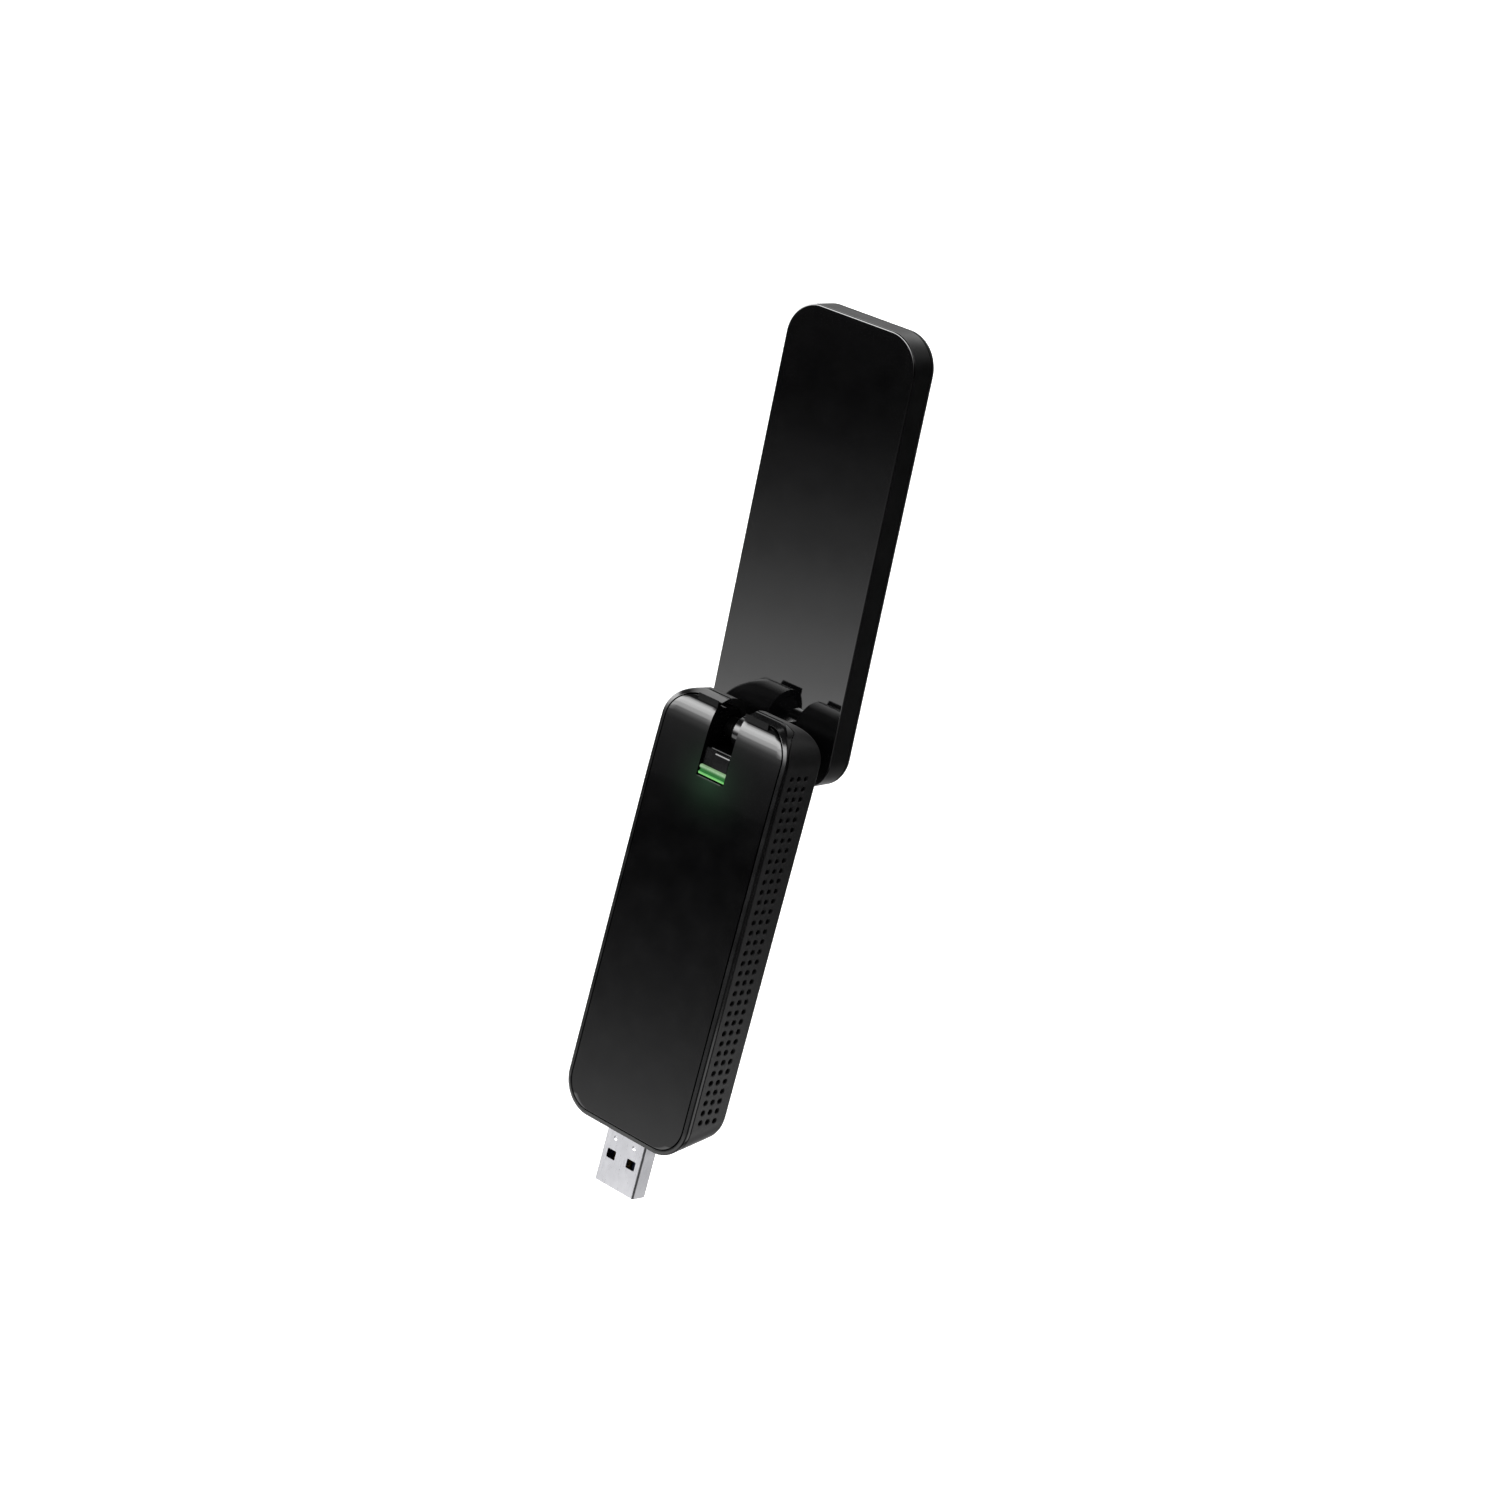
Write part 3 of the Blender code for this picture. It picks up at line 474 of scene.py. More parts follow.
def metal(name, dark, light, rough_low, rough_high, streak=(1.0, 1.0, 1.0), streak_scale=2500.0):
    """Bare or plated metal with fine drawn streaks and cloudy roughness."""
    made, tree, shader = new_material(name)
    streaks = noise(tree, coordinates(tree, streak), streak_scale, 3.0)
    cloud = noise(tree, coordinates(tree), 260.0, 3.0)
    colour = mixed_colour(tree, spread(tree, cloud, 0.0, 1.0), dark, light)
    tree.links.new(colour, shader.inputs["Base Color"])
    tree.links.new(spread(tree, streaks, rough_low, rough_high), shader.inputs["Roughness"])
    tree.links.new(bump(tree, streaks, 0.15, 0.00002), shader.inputs["Normal"])
    shader.inputs["Metallic"].default_value = 1.0
    return made


def add_light_halo(tree, shader):
    """Painted green glow: emission in the cover's gloss that fades with distance from the bar, in place of the
    bar's light scattered around it.
    """
    source = node(tree, "ShaderNodeTexCoord")
    offset = node(tree, "ShaderNodeVectorMath", operation="SUBTRACT")
    tree.links.new(source.outputs["Object"], offset.inputs[0])
    offset.inputs[1].default_value = LIGHT_MIDDLE - Vector((0.0, 0.0, 1.2 * MM))
    shaped = node(tree, "ShaderNodeVectorMath", operation="MULTIPLY")
    tree.links.new(offset.outputs["Vector"], shaped.inputs[0])
    shaped.inputs[1].default_value = (0.8, 0.5, 0.9)
    length = node(tree, "ShaderNodeVectorMath", operation="LENGTH")
    tree.links.new(shaped.outputs["Vector"], length.inputs[0])
    near = spread(tree, length.outputs["Value"], 1.0, 0.0, 0.0, 16.0 * MM)
    power = node(tree, "ShaderNodeMath", operation="POWER")
    power.inputs[1].default_value = 4.0
    tree.links.new(near, power.inputs[0])
    shader.inputs["Emission Color"].default_value = (0.20, 0.60, 0.28, 1.0)
    tree.links.new(multiplied(tree, power.outputs["Value"], 0.07), shader.inputs["Emission Strength"])


def lit_lens():
    """Clear bar lit green from behind: its two ridges glow paler than the groove between them, and the pale band
    over the upper ridge is partly a painted highlight.
    """
    made, tree, shader = new_material("lit_green_lens")
    source = node(tree, "ShaderNodeTexCoord")
    split = node(tree, "ShaderNodeSeparateXYZ")
    tree.links.new(source.outputs["Object"], split.inputs["Vector"])
    height = spread(tree, split.outputs["Z"], 0.0, 1.0, lens_low.z, lens_high.z)
    # Emission by height: the lamp's own green glow; the pale stops over the upper ridge also hold a painted
    # highlight.
    stops = [
        (0.0, (0.06, 0.40, 0.06)), (0.09, (0.30, 0.75, 0.25)), (0.20, (0.12, 0.50, 0.10)),
        (0.30, (0.02, 0.16, 0.03)), (0.52, (0.015, 0.11, 0.02)), (0.66, (0.10, 0.25, 0.10)),
        (0.80, (0.27, 0.44, 0.25)), (0.95, (0.24, 0.38, 0.21)),
    ]
    tree.links.new(colour_ramp(tree, height, stops), shader.inputs["Emission Color"])
    ripple = noise(tree, coordinates(tree), 900.0, 2.0)
    fade = spread(tree, split.outputs["Y"], 1.0, 0.03, lens_low.y + 0.5 * MM, lens_low.y + 0.9 * MM)
    lit = multiplied(tree, spread(tree, ripple, 0.85, 1.1), fade)
    tree.links.new(lit, shader.inputs["Emission Strength"])
    tree.links.new(spread(tree, ripple, 0.16, 0.26), shader.inputs["Roughness"])
    shader.inputs["Base Color"].default_value = (0.002, 0.014, 0.003, 1.0)
    shader.inputs["Specular IOR Level"].default_value = 0.12
    return made


def board_surface():
    """Green solder mask over faint copper tracks."""
    made, tree, shader = new_material("solder_mask")
    bricks = node(tree, "ShaderNodeTexBrick")
    tree.links.new(coordinates(tree, (1.0, 0.0, 1.0)), bricks.inputs["Vector"])
    bricks.inputs["Scale"].default_value = 420.0
    bricks.inputs["Color1"].default_value = (0.012, 0.10, 0.045, 1.0)
    bricks.inputs["Color2"].default_value = (0.018, 0.13, 0.060, 1.0)
    bricks.inputs["Mortar"].default_value = (0.030, 0.19, 0.085, 1.0)
    tree.links.new(bricks.outputs["Color"], shader.inputs["Base Color"])
    cloud = noise(tree, coordinates(tree), 300.0)
    tree.links.new(spread(tree, cloud, 0.3, 0.45), shader.inputs["Roughness"])
    tree.links.new(bump(tree, bricks.outputs["Fac"], 0.3, 0.00003), shader.inputs["Normal"])
    return made


cover_gloss, cover_tree, cover_shader = plastic(
    "cover_gloss", (0.0006, 0.0006, 0.0007), (0.0010, 0.0010, 0.0011), 0.05, 0.09, 500.0, 0.000002,
    0.12, 0.0)
add_light_halo(cover_tree, cover_shader)
rim_gloss = plastic(
    "rim_gloss", (0.0012, 0.0012, 0.0013), (0.0022, 0.0022, 0.0024), 0.12, 0.2, 2500.0, 0.000004,
    0.15, 0.1, specular=0.4)[0]
panel_gloss = plastic(
    "panel_gloss", (0.0006, 0.0006, 0.0007), (0.0010, 0.0010, 0.0011), 0.03, 0.06, 500.0, 0.000002,
    0.08, 0.0, specular=1.0)[0]
satin = plastic(
    "satin_moulding", (0.005, 0.005, 0.0052), (0.0065, 0.0065, 0.0068), 0.39, 0.43, 5200.0, 0.00002,
    0.35, 0.15)[0]
hinge_black = plastic(
    "hinge_moulding", (0.001, 0.001, 0.0011), (0.002, 0.002, 0.0022), 0.10, 0.18, 3500.0, 0.000004,
    0.15, 0.1)[0]
spring_black = plastic(
    "blackened_spring", (0.0006, 0.0006, 0.0006), (0.0015, 0.0015, 0.0015), 0.4, 0.55, 4000.0,
    0.000006, specular=0.05)[0]
# Painted shade for the seam: near-zero reflection on the faces inside the gap between cover and rim.
seam_shade_black = plastic(
    "seam_painted_shade", (0.0004, 0.0004, 0.0004), (0.0009, 0.0009, 0.0009), 0.6, 0.75, 4000.0, 0.000004,
    specular=0.03)[0]
band_satin = plastic(
    "panel_band", (0.0022, 0.0022, 0.0023), (0.0035, 0.0035, 0.0037), 0.32, 0.42, 5200.0, 0.00001,
    0.3, 0.12, specular=0.26)[0]
label_film = plastic(
    "label_film", (0.055, 0.055, 0.058), (0.070, 0.070, 0.074), 0.42, 0.52, 6000.0, 0.00001,
    0.3, 0.2)[0]
plug_steel = metal(
    "plated_steel", (0.42, 0.42, 0.44), (0.48, 0.48, 0.50), 0.26, 0.38, (1.0, 1.0, 0.08), 6000.0)
# Gold kept far darker than real gold: painted shade for the contacts deep inside the plug, seen through its
# windows.
gold_with_painted_shade = metal("contact_gold", (0.26, 0.19, 0.08), (0.34, 0.26, 0.11), 0.18, 0.32)
tongue = plastic(
    "tongue_moulding", (0.004, 0.007, 0.022), (0.006, 0.010, 0.032), 0.35, 0.5, 4000.0, 0.00001,
    0.25, 0.15)[0]
solder_mask = board_surface()
epoxy = plastic("epoxy_package", (0.012, 0.012, 0.012), (0.022, 0.022, 0.022), 0.45, 0.6, 9000.0, 0.00001)[0]
soft_grey = plastic("soft_pad", (0.24, 0.25, 0.28), (0.32, 0.33, 0.37), 0.7, 0.85, 5000.0, 0.00003)[0]
green_lens = lit_lens()
copper = metal("printed_copper", (0.62, 0.30, 0.15), (0.80, 0.42, 0.24), 0.25, 0.4)
jacket = plastic("lead_jacket", (0.09, 0.09, 0.10), (0.13, 0.13, 0.14), 0.4, 0.55, 4000.0, 0.00001)[0]

slot_surfaces = {
    "gloss_black": rim_gloss, "panel_gloss_black": panel_gloss, "satin_black": satin,
    "hinge_black": hinge_black, "friction_spring": spring_black, "label_grey": label_film,
    "plated_steel": plug_steel, "contact_gold": gold_with_painted_shade, "tongue_blue": tongue, "board_green": solder_mask,
    "chip_black": epoxy, "thermal_grey": soft_grey, "light_green": green_lens,
    "antenna_copper": copper, "lead_grey": jacket,
}
for subpart in frame["record"]["subparts"]:
    kept = frame["nodes"][subpart["node"]]
    kept.data.materials.clear()
    kept.data.materials.append(slot_surfaces[subpart["material_slot"]])


# ---------------------------------------------------------------- body skins
def front_cover():
    """Cover as strips across the width, thickened, with a softened edge."""
    half, radius = HALF_WIDTH - COVER_INSET, CORNER - COVER_INSET
    low, high = BOTTOM + COVER_INSET, TOP - COVER_INSET
    quarter = [math.radians(90 * k / CORNER_STEPS) for k in range(CORNER_STEPS + 1)]
    heights = [low + radius - radius * math.cos(angle) for angle in quarter]
    heights += [high - radius + radius * math.sin(angle) for angle in quarter[:-1]]
    z = TOP - SHOULDER
    while z < high - radius - 0.5 * MM:
        heights.append(z)
        z += MM
    heights += [ROUND_Z + (ROUND - 1.25 * MM) * math.sin(math.radians(90 * k / 14)) for k in range(14)]
    heights += [low + radius + (TOP - SHOULDER - low - radius) * k / 12 for k in range(1, 12)]
    heights.append(NOTCH_BOTTOM)
    heights = sorted(heights)
    least_step = 0.06 * MM
    levels = [heights[0]]
    for value in heights[1:]:
        if value - levels[-1] > least_step or value == NOTCH_BOTTOM:
            levels.append(value)
    levels.append(high)

    def reach(z):
        from_low = (low + radius - z) / radius
        from_high = (z - high + radius) / radius
        share = min(max(from_low, from_high, 0.0), 1.0)
        return half - radius + radius * math.sqrt(1.0 - share ** 2)

    mesh = bmesh.new()
    columns = 8

    def row(z, left, right):
        y, span = front_depth(z), right - left
        return [mesh.verts.new((left + span * k / columns, y, z)) for k in range(columns + 1)]

    def bridge(first, second):
        for k in range(columns):
            mesh.faces.new((first[k], first[k + 1], second[k + 1], second[k]))

    below = [z for z in levels if z <= NOTCH_BOTTOM]
    above = [z for z in levels if z >= NOTCH_BOTTOM]

    def full_row(z):
        left = row(z, -reach(z), NOTCH_LEFT)
        middle = row(z, NOTCH_LEFT, NOTCH_RIGHT)
        right = row(z, NOTCH_RIGHT, reach(z))
        return left, middle, right

    previous = full_row(below[0])
    for z in below[1:]:
        current = full_row(z)
        for first, second in zip(previous, current):
            bridge(first, second)
        previous = current
    sides = [previous[0], previous[2]]
    for z in above[1:]:
        current = [row(z, -reach(z), NOTCH_LEFT), row(z, NOTCH_RIGHT, reach(z))]
        for first, second in zip(sides, current):
            bridge(first, second)
        sides = current
    bmesh.ops.remove_doubles(mesh, verts=mesh.verts, dist=0.01 * MM)
    bmesh.ops.recalc_face_normals(mesh, faces=mesh.faces)
    if sum(face.normal.y for face in mesh.faces) > 0:
        bmesh.ops.reverse_faces(mesh, faces=mesh.faces)
    item = to_object("glossy_front_cover", mesh)
    thickness = item.modifiers.new("thickness", "SOLIDIFY")
    thickness.thickness = SKIN
    thickness.offset = -1.0
    thickness.use_even_offset = False
    thickness.material_offset_rim = 1
    soften(item, 0.14 * MM, 3, 50)
    finish(item, cover_gloss, "adapter", ["front_cover"])
    # The cover's edge faces take the painted seam shade.
    item.data.materials.append(seam_shade_black)
    return item


def trim_rim():
    """Narrow rim with a rounded outer edge, swept round the outline and open at the notch.

    Its faces towards the cover carry painted shade: a dull, barely reflecting black for the dark inside of the
    seam.
    """
    section = [
        (RIM_WIDTH, "deep"), (RIM_WIDTH, 0.15 * MM), (RIM_WIDTH - 0.04 * MM, 0.05 * MM),
        (RIM_WIDTH - 0.14 * MM, 0.02 * MM),
    ]
    for step in range(FILLET_STEPS + 1):
        angle = math.radians(14 + 76 * step / FILLET_STEPS)
        inset, depth = RIM_FILLET * (1 - math.sin(angle)), RIM_FILLET * (1 - math.cos(angle))
        section.append((inset, RIM_SLOPE + depth))
    section.append((0.0, "back"))
    section.append((0.3 * MM, "back"))
    rings = []
    for point in body_path():
        outer_x, outer_z = place(point, 0.0)
        back = rim_back(outer_z)
        ring = []
        for inset, depth in section:
            x, z = place(point, inset)
            if depth == "back":
                y = back
            elif depth == "deep":
                y = min(front_depth(z) + SKIN, back)
            else:
                y = min(front_depth(z) + depth, back)
            ring.append((x, y, lowered(point, z, y)))
        rings.append(ring)
    mesh = loft(rings)
    mesh.faces.ensure_lookup_table()
    middle = Vector((0.0, 0.0, (BOTTOM + TOP) / 2))
    seam_faces = []
    for face in mesh.faces:
        if abs(face.normal.y) < 0.5 and face.normal.dot(face.calc_center_median() - middle) < 0:
            seam_faces.append(face.index)
    item = to_object("glossy_trim_rim", mesh)
    finish(item, rim_gloss, "adapter", ["trim_rim"])
    item.data.materials.append(seam_shade_black)
    for index in seam_faces:
        item.data.polygons[index].material_index = 1
    return item


def closed_body_path():
    """The outline with the notch's span closed, for the housing."""
    return body_path()[1:-1] + [("top", 0.0, None)]


def vent_cutters():
    """Round vents with a flared mouth through both side walls."""
    shapes = []
    wide, narrow = VENT_RADIUS + 2 * VENT_MOUTH, VENT_RADIUS
    outside, inside = HALF_WIDTH + VENT_MOUTH, HALF_WIDTH - VENT_MOUTH
    profile = [(wide, outside), (narrow, inside), (narrow, HALF_WIDTH - WALL - MM)]
    for side in (-1, 1):
        for row in range(VENT_ROWS):
            for column in range(VENT_COLUMNS):
                y = VENT_FIRST.y + column * VENT_PITCH.y
                z = VENT_FIRST.z - row * VENT_PITCH.z
                shapes.append(loft([
                    [(side * x, y + a, z + b) for a, b in arc((0, 0), radius, 0, 360, 16)[:-1]]
                    for radius, x in profile
                ]))
    return join_shapes(shapes)


def screw_places():
    """(x, z) of the two screws that hold the board."""
    return [(12 * MM, BOTTOM + 14 * MM), (-12 * MM, BOTTOM + 80 * MM)]


def housing_shell():
    """Side band and back in one tray with rounded back edges, vents, notch and bosses."""
    path = closed_body_path()
    outer = [(0.0, "front", BACK_LIP), (0.0, "back", BACK_FILLET)]
    for step in range(1, FILLET_STEPS + 1):
        angle = math.radians(90 * step / FILLET_STEPS)
        inset, depth = BACK_FILLET * (1 - math.cos(angle)), BACK_FILLET * (1 - math.sin(angle))
        outer.append((inset, "back", depth))
    outer += [(inset * MM, "back", 0.0) for inset in BACK_INSETS]
    inner = [(1.35 * MM, "front", 0.0)]
    inner += [(inset * MM, "inside", 0.0) for inset in INNER_INSETS]

    def ring_of(inset, kind, depth):
        ring = []
        for point in path:
            x, z = place(point, inset)
            front_edge = rim_back(place(point, 0.0)[1]) + GAP
            if kind == "front":
                y = min(front_edge + depth, back_depth(z))
            elif kind == "back":
                least = front_edge + BACK_LIP + 0.3 * (BACK_FILLET - depth) + 0.05 * MM
                y = max(back_depth(z) - depth, least)
            else:
                rise = min(max(z - ROUND_Z, 0.0), ROUND - WALL)
                y = max(ROUND_Y + math.sqrt((ROUND - WALL) ** 2 - rise ** 2), front_edge)
            ring.append((x, y, lowered(point, z, y)))
        return ring

    rings = [ring_of(*entry) for entry in reversed(inner)]
    rings.append(ring_of(BACK_LIP, "front", 0.0))
    rings += [ring_of(*entry) for entry in outer]
    mesh = loft(rings)
    plug_room = block(
        (plug_low.x - GAP, plug_low.y - GAP, 0), (plug_high.x + GAP, plug_high.y + GAP, BOTTOM + 8 * MM)
    )
    notch = block((NOTCH_LEFT, FRONT - MM, SLOT_BOTTOM - 0.4 * MM), (NOTCH_RIGHT, BACK + MM, TOP + MM))
    recess_outline = rounded_outline(
        label_low.x - GAP, label_high.x + GAP, label_low.z - GAP, label_high.z + GAP, 1.5 * MM, 8)
    recess = prism(recess_outline, "Y", label_low.y - GAP, BACK + MM)
    boss_start, boss_end = BOARD_FRONT + BOARD_THICK + GAP, BACK - 0.7 * MM
    bosses = [rod("Y", spot, BOSS_RADIUS, boss_start, boss_end, 24) for spot in screw_places()]
    holes = [rod("Y", spot, BOARD_SCREW_HOLE, BOARD_FRONT, BACK - WALL, 16) for spot in screw_places()]
    item = combine(
        "vented_housing", mesh, ("DIFFERENCE", plug_room), ("DIFFERENCE", notch), ("DIFFERENCE", recess),
        ("UNION", join_shapes(bosses)), ("DIFFERENCE", join_shapes(holes)), ("DIFFERENCE", vent_cutters()),
    )
    return finish(item, satin, "adapter", ["housing_shell"], 32)


def rating_label():
    """Blank film let into the back, with rounded corners."""
    outline = rounded_outline(label_low.x, label_high.x, label_low.z, label_high.z, 1.2 * MM, 8)
    item = to_object("blank_label", prism(outline, "Y", label_low.y, label_high.y))
    soften(item, 0.05 * MM, 2)
    return finish(item, label_film, "adapter", ["rating_label"])


# ---------------------------------------------------------------- light bar and plug
def light_bar():
    """Lens with two round-topped ridges across its face."""
    face = lens_low.y
    floor = face + 0.5 * MM
    ridge = 0.42 * MM
    profile = [(lens_high.y, lens_low.z), (floor, lens_low.z)]
    profile += arc((face + ridge, lens_low.z + ridge), ridge, 270, 90, 10)[1:]
    profile += [(floor, lens_low.z + 2 * ridge)]
    profile += arc((face + ridge, lens_high.z - ridge), ridge, 270, 90, 10)
    profile.append((lens_high.y, lens_high.z))
    item = to_object("lit_bar", prism(profile, "X", lens_low.x, lens_high.x))
    return finish(item, green_lens, "adapter", ["light_guide"], 50)


def usb_shell():
    """Folded metal shell with latch windows, dimples, a rolled tip edge and a butt seam on its back."""
    half_x, half_y = plug_high.x, plug_high.y
    wall, edge = PLUG_WALL, PLUG_EDGE
    rings = []
    sections = (
        (wall, plug_high.z), (wall, 0.06 * MM), (wall - edge * 0.5, 0.0), (edge, 0.0),
        (edge * 0.3, edge * 0.3), (0.0, edge), (0.0, plug_high.z),
    )
    for inset, z in sections:
        radius = max(0.55 * MM - inset, 0.2 * MM)
        reach_x, reach_y = half_x - inset, half_y - inset
        outline = rounded_outline(-reach_x, reach_x, -reach_y, reach_y, radius, 8)
        rings.append([(x, y, z) for x, y in outline])
    rings.append(rings[0])
    window_z = BOTTOM - WINDOW_DROP
    dimple_z = BOTTOM - DIMPLE_DROP
    windows = []
    for x in (-WINDOW_X, WINDOW_X):
        outline = rounded_outline(
            x - WINDOW_HALF_X, x + WINDOW_HALF_X, window_z - WINDOW_HALF_Z, window_z + WINDOW_HALF_Z,
            0.25 * MM, 5)
        windows.append(prism(outline, "Y", -3 * MM, 3 * MM))
    dents = []
    for x in (-DIMPLE_X, DIMPLE_X):
        for side in (-1, 1):
            circles = [[
                (x + a, side * (half_y + depth * MM), dimple_z + b)
                for a, b in arc((0, 0), radius * MM, 0, 360, 20)[:-1]
            ] for radius, depth in DIMPLE_PROFILE]
            dents.append(loft(circles))
    seam = block((-0.06 * MM, half_y - 0.12 * MM, -MM), (0.06 * MM, half_y + MM, plug_high.z + MM))
    item = combine(
        "usb_plug_shell", loft(rings, caps=False), ("DIFFERENCE", join_shapes(windows)),
        ("DIFFERENCE", join_shapes(dents)), ("DIFFERENCE", seam),
    )
    return finish(item, plug_steel, "adapter", ["usb_shell"], 35)


# ---------------------------------------------------------------- hinge
def body_profile(inset):
    """The body's side profile (y, z), drawn in by inset."""
    low = BOTTOM
    points = [(FRONT + inset, low)]
    points += arc((ROUND_Y, ROUND_Z), ROUND - inset, 180, 0, 48)
    points.append((BACK - inset, low))
    return points


def hinge_cradle():
    """Fork that lines the notch: a rounded chin above the light bar and two cheeks for the pin."""
    low = LIGHT_TOP + GAP
    inside = prism(body_profile(SKIN + 2 * GAP), "X", NOTCH_LEFT - CHEEK, NOTCH_RIGHT + CHEEK)
    keep = block((-20 * MM, -20 * MM, low), (20 * MM, 20 * MM, TOP + MM))
    chin_top = SLOT_BOTTOM - 0.1 * MM
    lip = 0.75 * MM
    chin_profile = [(FRONT + 0.4 * MM, low), (FRONT + 3 * MM, low), (FRONT + 3 * MM, chin_top)]
    chin_profile += arc((FRONT + 0.4 * MM + lip, chin_top - lip), lip, 90, 180, 10)
    chin = prism(chin_profile, "X", KNUCKLE_LEFT, NOTCH_RIGHT - GAP)
    recess = FRONT + CHIN_RECESS
    slot_floor = block((NOTCH_LEFT + GAP, recess, low), (KNUCKLE_LEFT + MM, FRONT + 3 * MM, chin_top))
    slot = block((NOTCH_LEFT, FRONT - MM, SLOT_BOTTOM), (NOTCH_RIGHT, BACK + MM, TOP + MM))
    left_slot = block((NOTCH_LEFT, FRONT - MM, low - MM), (KNUCKLE_LEFT, recess, SLOT_BOTTOM + MM))
    board_room = block(
        (-20 * MM, BOARD_FRONT - GAP, BOTTOM + 80 * MM),
        (20 * MM, BOARD_FRONT + BOARD_THICK + GAP, BOTTOM + 86.8 * MM),
    )
    pin_hole = rod("X", (HINGE.y, HINGE.z), PIN_RADIUS + PIN_PLAY, -20 * MM, 20 * MM, 32)
    item = combine(
        "notch_fork", inside, ("INTERSECT", keep), ("DIFFERENCE", left_slot), ("UNION", chin),
        ("UNION", slot_floor), ("DIFFERENCE", slot),
        ("DIFFERENCE", board_room), ("DIFFERENCE", pin_hole),
    )
    return finish(item, hinge_black, "adapter", ["hinge_cradle"], 32)


def friction_clutch():
    """Flat wire wound round the pin: a sleeve of close turns."""
    left, right = clutch_low.x, clutch_high.x
    turns = 6
    pitch = (right - left) / turns
    bore, outer = PIN_RADIUS + PIN_PLAY, (clutch_high.z - clutch_low.z) / 2
    profile = [(right, bore), (left, bore)]
    for turn in range(turns):
        start = left + turn * pitch
        profile += [
            (start, outer - 0.22 * MM), (start + 0.12 * pitch, outer - 0.06 * MM),
            (start + 0.28 * pitch, outer), (start + 0.72 * pitch, outer),
            (start + 0.88 * pitch, outer - 0.06 * MM),
        ]
    profile.append((right, outer - 0.22 * MM))
    item = to_object("wound_clutch", turned(profile, HINGE.y, HINGE.z))
    return finish(item, spring_black, "adapter", ["friction_clutch"], 40)


def hinge_frame(item):
    """Moves a mesh modelled about the hinge axis into place, leaning with the panel."""
    item.data.transform(Matrix.Translation(HINGE) @ Matrix.Rotation(PANEL_LEAN, 4, "X"))
    return item


def foot_screw_places():
    """(x, z) of the two screws that hold the arm's foot, about the hinge axis."""
    return [(-5.4 * MM, 0.0), (8.0 * MM, 0.0)]


def hinge_arm():
    """Knuckle with rounded rims, a web out to the panel and a foot plate inside it."""
    left, right = KNUCKLE_LEFT, KNUCKLE_RIGHT
    rounding = KNUCKLE_ROUNDING
    bore = PIN_RADIUS + PIN_PLAY
    profile = [(right, bore), (left, bore)]
    profile += [
        (left + rounding - rounding * math.sin(math.radians(a)),
         KNUCKLE_RADIUS - rounding + rounding * math.cos(math.radians(a)))
        for a in (90, 67, 45, 22, 0)
    ]
    profile += [
        (right - rounding + rounding * math.sin(math.radians(a)),
         KNUCKLE_RADIUS - rounding + rounding * math.cos(math.radians(a)))
        for a in (0, 22, 45, 67, 90)
    ]
    knuckle = turned(profile, 0.0, 0.0, 96)
    outline = rounded_outline(left, right, -ARM_HALF, ARM_HALF, ARM_EDGE, 5)
    web = prism(outline, "Y", 2.4 * MM, PANEL_REACH + 2.6 * MM)
    foot = block((FOOT_LEFT, FOOT_START, -FOOT_HALF), (FOOT_RIGHT, FOOT_END, FOOT_HALF))
    holes = [rod("Y", spot, FOOT_SCREW_HOLE, PANEL_REACH + MM, PANEL_REACH + 5 * MM, 16)
             for spot in foot_screw_places()]
    item = combine(
        "panel_arm", knuckle, ("UNION", web), ("UNION", foot), ("DIFFERENCE", join_shapes(holes)),
    )
    return finish(hinge_frame(item), hinge_black, "antenna_panel", ["hinge_arm"], 34)


# ---------------------------------------------------------------- antenna panel
def panel_ring(y, inset):
    """The panel's outline at depth y from the hinge axis, drawn in by inset."""
    radius = CORNER - inset
    outline = rounded_outline(
        inset - PANEL_HALF, PANEL_HALF - inset, PANEL_LOW + inset, PANEL_HIGH - inset, radius, CORNER_STEPS
    )
    return [(x, y, z) for x, z in outline]


def panel_front_shell():
    """Mirror-like face with a tight rounded edge, and the satin side band behind it."""
    front, back = PANEL_REACH, PANEL_REACH + PANEL_SPLIT
    edge = PANEL_EDGE
    rings = [panel_ring(front, edge + 0.02 * MM)] + [
        panel_ring(front + edge * (1 - math.cos(math.radians(a))), edge * (1 - math.sin(math.radians(a))))
        for a in (0, 18, 36, 54, 72, 90)
    ]
    rings += [panel_ring(back - PARTING, 0.0), panel_ring(back, PARTING)]
    hollow_outline = rounded_outline(
        PANEL_WALL - PANEL_HALF, PANEL_HALF - PANEL_WALL, PANEL_LOW + PANEL_WALL, PANEL_HIGH - PANEL_WALL,
        CORNER - PANEL_WALL, 10,
    )
    hollow = prism(hollow_outline, "Y", front + PANEL_WALL, back + MM)
    pads = [rod("Y", spot, PAD_RADIUS, front + 0.7 * MM, front + 1.9 * MM, 24)
            for spot in foot_screw_places()]
    holes = [rod("Y", spot, FOOT_SCREW_HOLE, front + 0.8 * MM, front + 3 * MM, 16)
             for spot in foot_screw_places()]
    opening = prism(
        rounded_outline(
            KNUCKLE_LEFT - GAP, KNUCKLE_RIGHT + GAP, -ARM_HALF - GAP, ARM_HALF + GAP, 0.5 * MM, 5
        ), "Y", front - MM, front + 1.7 * MM,
    )
    item = combine(
        "panel_face_shell", loft(rings), ("DIFFERENCE", hollow), ("UNION", join_shapes(pads)),
        ("DIFFERENCE", join_shapes(holes)), ("DIFFERENCE", opening),
    )
    band_start = front + edge * 0.8
    band = [
        face.index for face in item.data.polygons
        if face.center.y > band_start or face.normal.y > 0.5
    ]
    finish(
        hinge_frame(item), panel_gloss, "antenna_panel", ["panel_front_shell"], 40)
    item.data.materials.append(band_satin)
    for index in band:
        item.data.polygons[index].material_index = 1
    return item


